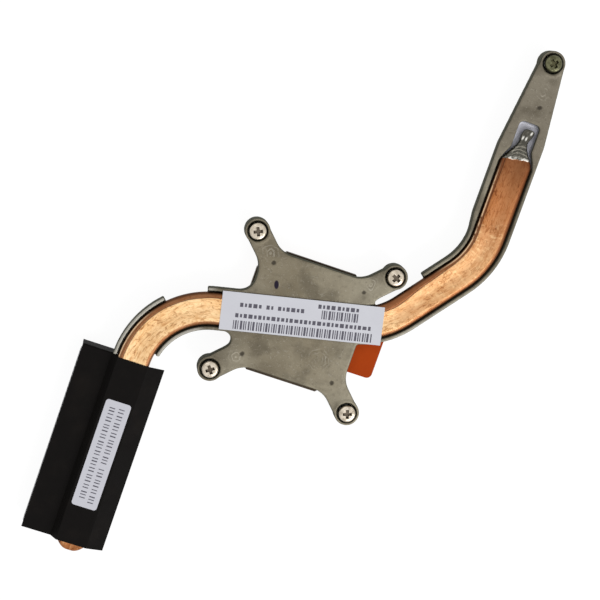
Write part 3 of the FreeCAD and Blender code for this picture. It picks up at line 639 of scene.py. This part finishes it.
def bend(before, corner, after):
    """Points and directions round a corner's tangent arc, and the places where it starts and ends."""
    back = (before - corner).normalized()
    ahead = (after - corner).normalized()
    half = back.angle(ahead) / 2
    reach = PIPE_BEND / math.tan(half)
    start = corner + back * reach
    centre = corner + (back + ahead).normalized() * (PIPE_BEND / math.sin(half))
    turn = math.pi - 2 * half
    if (-back).cross(ahead) < 0:
        turn = -turn
    count = max(6, int(abs(turn) * PIPE_BEND / PIPE_STEP))
    spoke = start - centre
    stops = []
    for i in range(count):
        spin = Matrix.Rotation(turn * i / count, 2)
        stops.append((centre + spin @ spoke, spin @ -back))
    return stops, start, corner + ahead * reach


def pipe_axis():
    """Stops along the pipe's full section: place and direction in plan."""
    corners = [Vector(corner) for corner in PIPE_CORNERS]
    stops = []
    here = corners[0]
    for before, corner, after in zip(corners, corners[1:], corners[2:]):
        arc, start, end = bend(before, corner, after)
        stops += straight(here, start) + arc
        here = end
    stops += straight(here, corners[-1])
    stops.append((corners[-1], Vector((0, 1))))
    return stops


SECTION_POINTS = 14
FLAT_POINTS = 16
TOP_DISH = 0.15


def pipe_section(width, thick, groove=0.0):
    """Flattened tube: (across, up) points, its faces sunk in the middle by a dish or a crimp's groove."""
    flat = (width - thick) / 2
    radius = thick / 2
    dish = TOP_DISH * min(1.0, flat / (PIPE_WIDTH - PIPE_THICK) * 2)
    points = []
    for side, first in ((1, -90), (-1, 90)):
        for i in range(SECTION_POINTS):
            angle = math.radians(first + 180 * i / (SECTION_POINTS - 1))
            points.append((side * flat + radius * math.cos(angle), radius * math.sin(angle)))
        for i in range(1, FLAT_POINTS):
            share = i / FLAT_POINTS
            across = side * flat * (1 - 2 * share)
            sink = (dish + groove) * math.sin(math.pi * share) ** 2
            points.append((across, side * (radius - sink)))
    return points


# Closed end: distance back from the full section, width and thickness, in millimetres
SPUN_END = [
    (0.5, 10.8, 2.95), (1.2, 10.3, 2.85), (1.9, 9.5, 2.7), (2.6, 8.4, 2.5), (3.2, 7.2, 2.2),
    (3.7, 6.0, 1.9), (4.05, 4.8, 1.5), (4.3, 3.6, 1.1), (4.4, 2.4, 0.8),
]
# Filling tip: distance past the shoulder, width, thickness, sideways lean and groove, in millimetres
FILL_TIP = [
    (0.7, 10.8, 3.0, 0, 0), (1.6, 10.2, 2.95, 0, 0), (2.6, 9.0, 2.85, 0, 0),
    (3.6, 7.6, 2.8, -0.05, 0), (4.8, 6.0, 2.7, -0.1, 0), (6.0, 4.6, 2.55, -0.1, 0),
    (7.0, 3.7, 2.45, -0.05, 0), (7.8, 3.2, 2.35, 0, 0), (8.6, 3.1, 2.1, 0.05, 0.05),
    (9.5, 3.5, 1.75, 0.2, 0.22), (10.4, 3.9, 1.45, 0.4, 0.3), (11.3, 4.0, 1.2, 0.6, 0.22),
    (12.1, 3.6, 1.05, 0.75, 0.1), (12.5, 2.8, 0.85, 0.8, 0), (12.6, 2.0, 0.6, 0.8, 0),
]


def pipe_rings():
    """Each ring of the pipe: place, direction, and its section's width, thickness and groove."""
    ahead = Vector((0, 1))
    rings = []
    for back, width, thick in reversed(SPUN_END):
        rings.append((Vector((PIPE_FIN_X, PIPE_END_Y - back)), ahead, (width, thick)))
    for place, way in pipe_axis():
        rings.append((place, way, (PIPE_WIDTH, PIPE_THICK)))
    for past, width, thick, lean, groove in FILL_TIP:
        place = Vector((PIPE_ARM_X + lean, PIPE_SHOULDER_Y + past))
        rings.append((place, ahead, (width, thick, groove)))
    return rings


def heat_pipe():
    """The bent pipe as one smooth skin that knows how far along and across each point lies."""
    rings = []
    along = []
    across = []
    travelled = 0.0
    previous = None
    for place, way, shape in pipe_rings():
        if previous is not None:
            travelled += (place - previous).length
        previous = place
        side = Vector((way.y, -way.x))
        ring = []
        for offset, up in pipe_section(*shape):
            flat = place + side * offset
            ring.append((flat.x * MM, flat.y * MM, (PIPE_MIDDLE_Z + up) * MM))
            along.append(travelled * MM)
            across.append(offset * MM)
        rings.append(ring)
    mesh = tube_mesh("heat_pipe_skin", rings)
    mesh.flip_normals()
    for name, values in (("along", along), ("across", across)):
        mesh.attributes.new(name, "FLOAT", "POINT").data.foreach_set("value", values)
    piece = new_piece("heat_pipe_skin", mesh)
    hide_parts("heat_pipe")
    return piece


# Colours along the pipe: each comes in from one place along Y to another, in millimetres
PIPE_COLOURS = [(4, 16, COPPER_WARM), (32, 58, COPPER_DEEP), (56, 72, COPPER_DARK), (-91, -94, COPPER_DEEP)]
# Looks of the pipe, in millimetres: where its solder starts and slants, where painted glints sit on it, and
# the painted shade and highlight that run along its sides
SOLDER_START = 72.8
SOLDER_SLANT = 0.17
SOLDER_GLINTS = [(47.9, 80.2), (49.0, 80.2), (50.2, 82.2)]
GLINT_RADIUS = 0.26
GLINT_STRETCH = 2.2
GLINT_ANGLE = math.radians(-14)
ARC_PITCH = 1.1
CREASE = -3.6
HIGHLIGHT_LINE_AT = -4.85
LINE_HALF = 0.15
LEFT_EDGE = (-4.2, -5.2)
RIGHT_EDGE = (3.8, 4.3)


def pipe_copper():
    """Bare copper: pale over the plate, browner along the arm, with painted shade at its sides and painted
    highlights on it and on the solder at its tip.
    """
    shader = Shader("pipe_copper", roughness=0.4, metallic=0.9)
    places = (shader.attribute("along"), shader.attribute("across"))
    route = shader.node("ShaderNodeCombineXYZ", *places).outputs["Vector"]
    across = shader.over(shader.attribute("across"), MM)
    place_x, place_y, _ = shader.axes()
    ahead = shader.over(place_y, MM)
    streaks = shader.noise(1500, 4, stretch=(0.1, 1, 1), place=route)
    wrinkles = shader.noise(720, 6, stretch=(0.45, 1, 1), place=route)
    creases = shader.noise(520, 5, stretch=(0.32, 1, 1), place=route, swirl=0.6)
    ripples = shader.noise(900, 5, stretch=(1, 0.4, 1), place=route)
    clouds = shader.noise(95, 6)
    flecks = shader.noise(1150, 5)
    scratches = shader.noise(2400, 3, stretch=(0.3, 1, 1), place=route)

    colour = COPPER_PALE
    for start, full, later in PIPE_COLOURS:
        colour = shader.mix(shader.step(ahead, start, full), colour, later)
    colour = shader.tint(colour, (0.84, 0.74, 0.62), shader.step(clouds, 0.42, 0.7), 0.8)
    colour = shader.tint(colour, (0.8, 0.68, 0.56), shader.step(wrinkles, 0.48, 0.68), 0.7)
    colour = shader.tint(colour, (0.7, 0.54, 0.4), shader.step(streaks, 0.52, 0.7), 0.6)
    colour = shader.tint(colour, (0.72, 0.58, 0.46), shader.step(scratches, 0.5, 0.7), 0.7)
    colour = shader.tint(colour, (0.5, 0.35, 0.24), shader.step(flecks, 0.6, 0.72), 0.6)
    lines = shader.times(shader.veins(creases, 0.035), shader.step(clouds, 0.36, 0.56))
    lines = shader.times(lines, shader.step(flecks, 0.38, 0.5))
    colour = shader.tint(colour, (0.5, 0.35, 0.23), lines, 0.8)
    # Painted highlights: pale glints on the wrinkles of the flat over the plate and on the crumpled part of
    # the rise
    painted_glints = shader.times(shader.step(wrinkles, 0.46, 0.28), shader.step(ahead, 40, 8))
    colour = shader.layer(colour, COPPER_GLINT, painted_glints, 0.35)
    crumpled_glints = shader.times(shader.band(ahead, 22, 50, 6), shader.step(ripples, 0.5, 0.68))
    colour = shader.layer(colour, COPPER_GLINT, crumpled_glints, 0.28)

    # Painted shade: a brown band on the left side, wider at the knee, a dark crease line, a dark left edge,
    # and a brown band on the right where the trough wall shades it
    wander = shader.plus(across, shader.span(clouds, -0.2, 0.2))
    wander = shader.minus(wander, shader.band(ahead, 10, 20, 6))
    wander = shader.plus(wander, shader.times(shader.step(ahead, 26, 36), 0.5))
    shaded_side = shader.step(wander, CREASE + LINE_HALF, CREASE - LINE_HALF)
    colour = shader.layer(colour, COPPER_SIDE_SHADE, shaded_side, 0.9)
    crease_shade = shader.band(wander, CREASE - LINE_HALF, CREASE + LINE_HALF, LINE_HALF)
    colour = shader.layer(colour, COPPER_CREASE_SHADE, crease_shade, 0.8)
    colour = shader.layer(colour, COPPER_EDGE_SHADE, shader.step(across, *LEFT_EDGE), 0.8)
    colour = shader.layer(colour, COPPER_SIDE_SHADE, shader.step(across, *RIGHT_EDGE), 0.9)
    # Painted highlight: a bright tan line on the rounded left side, made less metallic there so it stays
    # bright
    highlight_reach = shader.larger(shader.band(ahead, 34, 66, 6), shader.step(ahead, -10, -18))
    highlight_line = shader.band(across, HIGHLIGHT_LINE_AT - LINE_HALF, HIGHLIGHT_LINE_AT + LINE_HALF, LINE_HALF)
    highlight_line = shader.times(shader.times(highlight_line, highlight_reach), shader.step(wrinkles, 0.3, 0.45))
    colour = shader.mix(highlight_line, colour, COPPER_HIGHLIGHT)
    shader.set("Metallic", shader.span(highlight_line, 0.9, 0.1))

    slant = shader.times(shader.minus(shader.over(place_x, MM), PIPE_ARM_X), SOLDER_SLANT)
    ragged = shader.plus(ahead, shader.span(shader.noise(700, 4), -0.5, 0.5))
    ragged = shader.minus(ragged, slant)
    solder = shader.step(ragged, SOLDER_START - 0.1, SOLDER_START + 0.3)
    runs = shader.noise(900, 5)
    coat = shader.mix(shader.step(runs, 0.5, 0.68), SOLDER_GREY, SOLDER_PALE)
    # Painted highlights on the solder: bright arcs near the shoulder, a broken bright streak at its border
    # and glints on the crimp
    bowed = shader.plus(ragged, shader.times(shader.times(across, across), 0.1))
    arc_highlights = shader.step(shader.waves(bowed, ARC_PITCH), 0.5, 1.0)
    arc_highlights = shader.times(arc_highlights, shader.band(ahead, SOLDER_START + 1.0, SOLDER_START + 5.0, 0.8))
    coat = shader.layer(coat, CAST_SPECK, arc_highlights, 0.55)
    highlight_streak = shader.step(ragged, SOLDER_START + 1.1, SOLDER_START + 0.5)
    highlight_streak = shader.times(highlight_streak, shader.step(shader.noise(520, 4), 0.42, 0.58))
    coat = shader.layer(coat, SOLDER_HIGHLIGHT, highlight_streak, 0.85)
    glints = []
    for x, y in SOLDER_GLINTS:
        glints.append(dot_mask(shader, x, y, GLINT_RADIUS, 0.2, GLINT_STRETCH, GLINT_ANGLE, 0.2))
    coat = shader.layer(coat, SOLDER_HIGHLIGHT, most(shader, glints), 0.9)
    # Painted shade on the upright sides of the solder tip
    coat = shader.layer(coat, CAST_SIDE_SHADE, shader.step(shader.facing_up(), 0.85, 0.2), 0.65)
    shader.colour(shader.mix(solder, colour, coat))
    rough = shader.minus(shader.span(streaks, 0.3, 0.5), shader.times(solder, 0.14))
    shader.set("Roughness", rough)
    relief = shader.plus(streaks, shader.plus(wrinkles, shader.times(flecks, 0.5)))
    relief = shader.plus(relief, shader.times(shader.times(runs, 4.0), solder))
    shader.bump(shader.minus(relief, shader.times(crease_shade, 1.5)), 0.5, 0.07 * MM)
    return shader


# Captive screw, in millimetres: head, shank, thread and cross recess
HEAD_RADIUS = 2.75
HEAD_FLAT = 2.05
HEAD_HEIGHT = 1.9
HEAD_SIDE = 0.9
HEAD_CORNER = 0.15
HEAD_STEP = 0.1
# Edge of the flat top: how far in from its radius, and how far down
FLAT_EDGE = ((0.08, HEAD_STEP), (0.16, 0.02), (0.22, 0.0))
WAIST_RADIUS = 1.0
THREAD_RADIUS = 1.25
THREAD_DEPTH = 0.22
THREAD_PITCH = 0.45
THREAD_TOP_Z = 0.05
THREAD_RUNOUT = 0.4
THREAD_LEAD = 0.5
THREAD_POINT = 0.28
THREAD_ROWS = 6
RECESS_LENGTH = 3.0
RECESS_WIDTH = 1.0
RECESS_DEPTH = 0.9
RECESS_TAPER = 0.72
RECESS_MARGIN = 0.1
# Dirt and painted shade on the sunk faces of the cross recess: where it starts and ends below the top, and
# how strong
GRIME_SHADE_START = 0.02
GRIME_SHADE_DEPTH = 1.2 * RECESS_DEPTH
GRIME_SHADE_LEVEL = 0.85
SCREW_TURNS = (36, 19, 64, 24, 50)
TURN_STEPS = 48
ROUND_STEPS = 6
SHARP_ANGLE = math.radians(35)


def head_profile(under, top):
    """Radius and height round the head, from the shank out and up to the middle of its flat top."""
    profile = [(WAIST_RADIUS, under), (HEAD_RADIUS - HEAD_CORNER, under), (HEAD_RADIUS, under + HEAD_CORNER)]
    side_top = under + HEAD_SIDE
    for i in range(ROUND_STEPS + 1):
        angle = math.pi / 2 * i / ROUND_STEPS
        radius = HEAD_FLAT + (HEAD_RADIUS - HEAD_FLAT) * math.cos(angle)
        profile.append((radius, side_top + (top - HEAD_STEP - side_top) * math.sin(angle)))
    for inset, drop in FLAT_EDGE:
        profile.append((HEAD_FLAT - inset, top - drop))
    profile.append((RECESS_LENGTH / 2 + RECESS_MARGIN, top))
    return profile


def thread_radius(height, tip, turn):
    """Radius of a V thread at a height and a share of a turn, running out at its two ends."""
    wave = abs(((height / THREAD_PITCH - turn) % 1.0) * 2 - 1)
    fade = min(1.0, max(0.0, (THREAD_TOP_Z - height) / THREAD_RUNOUT))
    lead = min(1.0, (height - tip) / THREAD_LEAD)
    return THREAD_RADIUS - THREAD_DEPTH * wave * fade - THREAD_POINT * (1 - lead)


def screw_mesh(name):
    """Screw about the origin: threaded end, thin shank and rounded head."""
    low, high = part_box("captive_screw_1")
    tip = low.z / MM
    top = high.z / MM
    count = int((THREAD_TOP_Z - tip) / THREAD_PITCH * THREAD_ROWS)
    rows = []
    for row in range(count + 1):
        height = tip + (THREAD_TOP_Z - tip) * row / count
        rows.append([(thread_radius(height, tip, i / TURN_STEPS), height) for i in range(TURN_STEPS)])
    for stop in [(WAIST_RADIUS, THREAD_TOP_Z), *head_profile(top - HEAD_HEIGHT, top)]:
        rows.append([stop] * TURN_STEPS)
    rings = []
    for row in rows:
        ring = []
        for i, (radius, height) in enumerate(row):
            angle = 2 * math.pi * i / TURN_STEPS
            ring.append((radius * math.cos(angle) * MM, radius * math.sin(angle) * MM, height * MM))
        rings.append(ring)
    return tube_mesh(name, rings)


def cross_cutter(top):
    """Tapered cross that cuts the recess of a screw head."""
    long_half = RECESS_LENGTH / 2
    short_half = RECESS_WIDTH / 2
    arm_corners = [(long_half, -short_half), (long_half, short_half), (short_half, short_half)]
    plan = []
    for turn in range(4):
        spin = Matrix.Rotation(turn * math.pi / 2, 2)
        plan += [spin @ Vector(corner) for corner in arm_corners]
    depth = RECESS_DEPTH * MM
    rings = []
    for height, scale in ((top - depth, RECESS_TAPER), (top, 1.0), (top + depth, 1.0)):
        rings.append([(corner.x * scale * MM, corner.y * scale * MM, height) for corner in plan])
    return tube_mesh("cross_cutter", rings, smooth=False)


def cut_recess(mesh, top):
    """The screw's mesh with the cross cut out of its head."""
    blank = bpy.data.objects.new("screw_blank", mesh)
    cutter = bpy.data.objects.new("cross_cutter", cross_cutter(top))
    for item in (blank, cutter):
        bpy.context.scene.collection.objects.link(item)
    cut = blank.modifiers.new("cross", "BOOLEAN")
    cut.operation = "DIFFERENCE"
    cut.solver = "EXACT"
    cut.object = cutter
    bpy.context.view_layer.update()
    graph = bpy.context.evaluated_depsgraph_get()
    result = bpy.data.meshes.new_from_object(blank.evaluated_get(graph))
    for item in (blank, cutter):
        bpy.data.objects.remove(item)
    # Marks the sunk faces of the cross recess for dirt and painted shade
    grime_shade = result.attributes.new("grime_shade", "FLOAT", "FACE").data
    floor_height = top - GRIME_SHADE_DEPTH * MM
    for face in result.polygons:
        inside = face.center.xy.length < RECESS_LENGTH / 2 * MM
        sunk = floor_height < face.center.z < top - GRIME_SHADE_START * MM
        grime_shade[face.index].value = GRIME_SHADE_LEVEL if inside and sunk else 0.0
    return result


# Spring, in millimetres and turns: closed turns at both ends, and the share of height left at full press
SPRING_RADIUS = 2.1
SPRING_WIRE = 0.5
SPRING_TURNS = 4.25
SPRING_DEAD = 0.8
SPRING_STEPS = 40
WIRE_SIDES = 10
CLIP_EDGE = 0.08 * MM


def spring_climb(turn):
    """Share of the spring's height at a turn, with closed turns at both ends."""
    active = (turn - SPRING_DEAD) / (SPRING_TURNS - 2 * SPRING_DEAD)
    return min(1.0, max(0.0, active))


def screw_spring(number, shader):
    """Spring with closed ends that is pressed flat under its screw's head."""
    low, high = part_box(f"screw_spring_{number}")
    middle = (low + high) / 2
    radius = SPRING_WIRE / 2 * MM
    start = low.z + radius
    dead_rise = SPRING_WIRE * MM * SPRING_DEAD
    climb = high.z - low.z - 2 * radius - 2 * dead_rise
    steps = int(SPRING_TURNS * SPRING_STEPS)
    rings = []
    for step in range(steps + 1):
        turn = SPRING_TURNS * step / steps
        angle = 2 * math.pi * turn
        dead = min(turn, SPRING_DEAD) + max(0.0, turn - SPRING_TURNS + SPRING_DEAD)
        height = start + climb * spring_climb(turn) + dead * SPRING_WIRE * MM
        ring = []
        for side in range(WIRE_SIDES):
            roll = 2 * math.pi * side / WIRE_SIDES
            reach = SPRING_RADIUS * MM + radius * math.cos(roll)
            x = middle.x + reach * math.cos(angle)
            y = middle.y + reach * math.sin(angle)
            ring.append((x, y, height + radius * math.sin(roll)))
        rings.append(ring)
    name = f"spring_wire_{number}"
    piece = new_piece(name, tube_mesh(name, rings))
    dress(piece, shader)
    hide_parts(f"screw_spring_{number}")
    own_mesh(piece)


def screws():
    """Five captive screws, four plated and the arm's one dull, each with its spring."""
    bright = plated_metal("plated_nickel", NICKEL, NICKEL_DULL, 0.18, 0.36)
    olive = plated_metal("plated_olive", OLIVE_STEEL, OLIVE_DULL, 0.3, 0.5, OLIVE_GRIME_SHADE)
    wire = plated_metal("spring_wire", STEEL, STEEL_DARK, 0.25, 0.45)
    clip = plated_metal("clip_steel", STEEL_DARK, STEEL, 0.3, 0.5)
    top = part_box("captive_screw_1")[1].z
    pattern = cut_recess(screw_mesh("screw_blank"), top)
    for number in SCREW_NUMBERS:
        mesh = pattern.copy()
        middle = centre_of(f"captive_screw_{number}")
        spin = Matrix.Rotation(math.radians(SCREW_TURNS[number - 1]), 4, "Z")
        mesh.transform(Matrix.Translation((middle.x, middle.y, 0)) @ spin)
        mesh.polygons.foreach_set("use_smooth", [True] * len(mesh.polygons))
        mesh.set_sharp_from_angle(angle=SHARP_ANGLE)
        piece = new_piece(f"screw_{number}", mesh, f"screw_body_{number}")
        dress(piece, olive if number == ARM_SCREW else bright)
        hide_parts(f"captive_screw_{number}")
        screw_spring(number, wire)
        dress(nodes[f"retaining_ring_{number}"], clip)
        soften(nodes[f"retaining_ring_{number}"], CLIP_EDGE)


# Print on the labels, in millimetres: its height over the paper, and the kinds of bars in a row
PRINT_LIFT = 0.012
MARK_SIZE = 1.7
MARKS = {
    "widths": [MARK_SIZE * share for share in (0.62, 0.4, 0.62, 0.78, 0.5)],
    "gaps": [0.3 * MARK_SIZE],
    "heights": [MARK_SIZE * share for share in (0.8, 0.68, 0.8)],
}
STRIPES = {"widths": (0.3, 0.5, 0.3, 0.7, 0.4), "gaps": (0.34, 0.3, 0.55), "heights": (2.9,)}
THIN_BARS = {"widths": (0.34, 0.3, 0.42), "gaps": (0.75, 0.6, 1.1, 0.7, 0.95), "heights": (1.9,)}
# Rows of print: kind, start and end along the label, and place across it
PLATE_ROWS = [
    (MARKS, -20.6, -13.2, 2.35),
    (MARKS, -12.0, -9.4, 2.35),
    (MARKS, -8.2, 0.4, 2.35),
    (MARKS, 4.8, 9.6, 4.4),
    (MARKS, 11.2, 18.5, 4.4),
    (MARKS, -21.8, 22.2, -1.2),
    (STRIPES, 6.2, 18.4, 1.8),
    (STRIPES, -22.2, 23.4, -4.3),
]
FIN_ROWS = [(THIN_BARS, -15.6, 16.4, 1.5), (THIN_BARS, -16.6, -4.6, -1.6), (THIN_BARS, -2.6, 16.4, -1.6)]


def bar_row(start, end, across, widths, gaps, heights):
    """A row of upright bars, each as (along, across, width, height) from the label's middle."""
    bars = []
    place = start
    for width, gap, height in zip(cycle(widths), cycle(gaps), cycle(heights)):
        if place >= end:
            break
        bars.append((place + width / 2, across, width, height))
        place += width + gap
    return bars


def label_rows(node, rows, angle, shader):
    """Plain bars printed on a label."""
    middle = centre_of(node)
    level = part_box(node)[1].z + PRINT_LIFT * MM
    spin = Matrix.Rotation(angle, 2)
    points = []
    for kind, start, end, place in rows:
        for along, across, width, height in bar_row(start, end, place, **kind):
            for x, y in CORNERS:
                flat = spin @ Vector((along + x * width / 2, across + y * height / 2))
                points.append((middle.x + flat.x * MM, middle.y + flat.y * MM, level))
    faces = [tuple(range(first, first + 4)) for first in range(0, len(points), 4)]
    name = f"{node}_print"
    piece = new_piece(name, mesh_from(name, points, faces, smooth=False))
    dress(piece, shader)


# Contact plate and its raised part, in millimetres
CONTACT_HALF = 19.75
CONTACT_FRONT = 20.1
CONTACT_BACK = 21.0
CONTACT_CUT = 7.75
CONTACT_EDGE = 0.18
PEDESTAL_LENGTH = 30.0
PEDESTAL_WIDTH = 9.4
PEDESTAL_RISE = 1.25


def plate_outline(height, inset):
    """Ring of the contact plate's outline with cut corners, drawn in by an inset."""
    side = CONTACT_HALF - inset
    ring = []
    for sign_x, sign_y in ((1, 1), (-1, 1), (-1, -1), (1, -1)):
        end = (CONTACT_FRONT if sign_y > 0 else CONTACT_BACK) - inset
        pair = [(side, end - CONTACT_CUT), (side - CONTACT_CUT, end)]
        if sign_x * sign_y < 0:
            pair.reverse()
        ring += [(x * sign_x * MM, y * sign_y * MM, height) for x, y in pair]
    return ring


def contact_plate():
    """Contact plate as a slab with cut corners and rounded edges, and its raised part under the pipe."""
    low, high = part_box("cpu_contact_plate")
    edge = CONTACT_EDGE * MM
    top = high.z - PEDESTAL_RISE * MM
    levels = ((low.z, CONTACT_EDGE), (low.z + edge, 0.0), (top - edge, 0.0), (top, CONTACT_EDGE))
    slab = [plate_outline(height, inset) for height, inset in levels]
    spin = Matrix.Rotation(PIPE_SLANT, 2)
    plan = [spin @ Vector((x * PEDESTAL_LENGTH / 2, y * PEDESTAL_WIDTH / 2)) for x, y in CORNERS]
    pedestal = []
    for height in (top - edge, high.z):
        pedestal.append([(flat.x * MM, (flat.y + PIPE_CROSS_Y) * MM, height) for flat in plan])
    mesh = tube_mesh("contact_plate_skin", slab, pedestal, smooth=False)
    piece = new_piece("contact_plate_skin", mesh)
    dress(piece, contact_copper())
    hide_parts("cpu_contact_plate")


# Fold of the cover film beside its solid, and the gusset under its slope, in millimetres: dark pieces that
# also stand in for shade in gaps
FOLD_TOP = 3.8
FOLD_RIGHT = -53.5
FOLD_REACH = 0.17
FOLD_LAP = 0.25
FOLD_LIFT = 0.1
FOLD_RADIUS = 0.35
FOLD_STEPS = 5
GUSSET_PLAN = ((-55.2, 3.6), (-53.3, 3.6), (-53.3, 6.5))
GUSSET_LAP = 0.2
GUSSET_INSET = 0.1


def film_fold_gap_shade(shader):
    """Rounded fold of the film along its front edge, and a gusset that closes its slope beside the pipe; both
    are dark film that fills gaps where there would be only shade.
    """
    low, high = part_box("fin_cover_film")
    bottom = low.z + FOLD_LIFT * MM
    back = high.y - FOLD_LAP * MM
    front = high.y + FOLD_REACH * MM
    radius = FOLD_RADIUS * MM
    section = [(back, bottom), (front, bottom)]
    for i in range(FOLD_STEPS + 1):
        angle = math.pi / 2 * i / FOLD_STEPS
        rise = FOLD_TOP * MM - radius + radius * math.sin(angle)
        section.append((front - radius + radius * math.cos(angle), rise))
    section.append((back, FOLD_TOP * MM))
    strip = [[(x, y, z) for y, z in section] for x in (low.x, FOLD_RIGHT * MM)]
    ends = (back - GUSSET_LAP * MM, front - GUSSET_INSET * MM)
    gusset = [[(x * MM, y, z * MM) for x, z in GUSSET_PLAN] for y in ends]
    mesh = tube_mesh("film_fold_gap_shade", strip, gusset, smooth=False)
    dress(new_piece("film_fold_gap_shade", mesh), shader)


# Sizes of the fine skin of the casting and of rounded edges, in metres
CAST_CELL = 0.36 * MM
PAD_EDGE = 0.2 * MM
FILM_EDGE = 0.09 * MM


def dress_solids():
    """Materials and soft edges of the solids that show as they are."""
    casting = nodes["base_casting"]
    dress(casting, cast_metal())
    cast_over(casting, CAST_CELL)
    contact_plate()
    pad = soft_pad()
    dress(nodes["cpu_thermal_pad"], pad)
    dress(nodes["arm_thermal_pad"], pad)
    soften(nodes["arm_thermal_pad"], PAD_EDGE, 3)
    dress(nodes["release_liner"], liner_film())
    film = film_plastic()
    dress(nodes["fin_cover_film"], film)
    film_fold_gap_shade(film)
    soften(nodes["fin_cover_film"], FILM_EDGE, 2, 15)
    fins = fin_metal()
    for name, piece in nodes.items():
        if name.startswith("fin_") and name[4:].isdigit():
            dress(piece, fins)
    ink = label_print()
    dress(nodes["plate_label"], label_paper("white_paper", LABEL_PAPER, LABEL_SHADE))
    dress(nodes["fin_label"], label_paper("dull_paper", LABEL_SHADE, LABEL_DULL))
    label_rows("plate_label", PLATE_ROWS, PIPE_SLANT, ink)
    label_rows("fin_label", FIN_ROWS, math.pi / 2, ink)


# The photo's camera: its place, its three directions and its field in degrees
CAMERA_PLACE = (-0.0835056, 0.0748825, 0.5487084)
CAMERA_RIGHT = (0.93860644, 0.33102374, 0.097166)
CAMERA_UP = (-0.31302396, 0.93556419, -0.16351038)
CAMERA_BACK = (-0.14503085, 0.12305661, 0.98174494)
CAMERA_FIELD = 20
SENSOR = 36.0


def camera():
    data = bpy.data.cameras.new("camera")
    data.sensor_width = SENSOR
    data.lens = SENSOR / 2 / math.tan(math.radians(CAMERA_FIELD / 2))
    data.clip_start = 0.01
    piece = bpy.data.objects.new("camera", data)
    turn = Matrix((CAMERA_RIGHT, CAMERA_UP, CAMERA_BACK)).transposed().to_4x4()
    piece.matrix_world = Matrix.Translation(CAMERA_PLACE) @ turn
    bpy.context.scene.collection.objects.link(piece)
    bpy.context.scene.camera = piece


# Soft square lamps, turned to the middle: name, place, size and power
LAMPS = [("key_lamp", (0.55, -0.35, 0.7), 0.5, 4.5), ("fill_lamp", (-0.5, 0.5, 0.8), 0.7, 1.2)]


def lamps():
    for name, place, size, power in LAMPS:
        data = bpy.data.lights.new(name, "AREA")
        data.size = size
        data.energy = power
        piece = bpy.data.objects.new(name, data)
        piece.location = place
        piece.rotation_euler = (-Vector(place)).to_track_quat("-Z", "Y").to_euler()
        bpy.context.scene.collection.objects.link(piece)


FLOOR_HALF = 3.0
FLOOR_DROP = 0.0002
FLOOR_PAINT = (0.5, 0.5, 0.5, 1.0)
FLOOR_FAINT = (0.14, 0.14, 0.14, 1.0)
FLOOR_GLOW = 0.92
LIGHT_SIDE = Vector((0.5, -0.33, 0.8)).normalized()
LIGHT_SPREAD = (0.1, 0.92)
SKY_LEVELS = (0.16, 1.0)


def seen_by_camera(tree, lit, white):
    """The white one where the camera or a clear piece looks at it, and the lit one for other light."""
    path = add_node(tree, "ShaderNodeLightPath").outputs
    seen = path["Is Camera Ray"]
    for ray in ("Is Glossy Ray", "Is Transmission Ray"):
        seen = add_node(tree, "ShaderNodeMath", seen, path[ray], operation="MAXIMUM").outputs["Value"]
    return add_node(tree, "ShaderNodeMixShader", seen, lit, white).outputs["Shader"]


def world():
    """Soft light, brighter overhead and on one side, as from a large white sheet."""
    made = bpy.data.worlds.new("studio")
    bpy.context.scene.world = made
    made.use_nodes = True
    tree = made.node_tree
    way = add_node(tree, "ShaderNodeTexCoord").outputs["Generated"]
    toward = add_node(tree, "ShaderNodeVectorMath", way, LIGHT_SIDE, operation="DOT_PRODUCT").outputs["Value"]
    limits = (*LIGHT_SPREAD, *SKY_LEVELS)
    level = add_node(tree, "ShaderNodeMapRange", toward, *limits, interpolation_type="SMOOTHSTEP")
    lit = tree.nodes["Background"]
    put(tree, lit.inputs["Color"], WHITE)
    put(tree, lit.inputs["Strength"], level.outputs["Result"])
    white = add_node(tree, "ShaderNodeBackground", WHITE, 1.0)
    shown = seen_by_camera(tree, lit.outputs["Background"], white.outputs["Background"])
    put(tree, tree.nodes["World Output"].inputs["Surface"], shown)


def floor():
    """Pale floor that keeps a faint shadow, clear from below so that the underside can be seen."""
    height = cad_low.z - FLOOR_DROP
    points = [(x * FLOOR_HALF, y * FLOOR_HALF, height) for x, y in CORNERS]
    piece = bpy.data.objects.new("floor", mesh_from("floor", points, [(0, 1, 2, 3)], smooth=False))
    bpy.context.scene.collection.objects.link(piece)
    material = bpy.data.materials.new("floor_white")
    material.use_nodes = True
    tree = material.node_tree
    paint = add_node(tree, "ShaderNodeBsdfDiffuse", FLOOR_PAINT).outputs["BSDF"]
    glow = add_node(tree, "ShaderNodeEmission", WHITE, FLOOR_GLOW).outputs["Emission"]
    faint = add_node(tree, "ShaderNodeBsdfDiffuse", FLOOR_FAINT).outputs["BSDF"]
    both = add_node(tree, "ShaderNodeAddShader", glow, faint).outputs["Shader"]
    shown = seen_by_camera(tree, paint, both)
    below = add_node(tree, "ShaderNodeNewGeometry").outputs["Backfacing"]
    clear = add_node(tree, "ShaderNodeBsdfTransparent").outputs["BSDF"]
    choice = add_node(tree, "ShaderNodeMixShader", below, shown, clear).outputs["Shader"]
    put(tree, tree.nodes["Material Output"].inputs["Surface"], choice)
    piece.data.materials.append(material)


dress_solids()
dress(heat_pipe(), pipe_copper())
screws()
camera()
world()
floor()
lamps()
bpy.context.scene.view_settings.view_transform = "Standard"
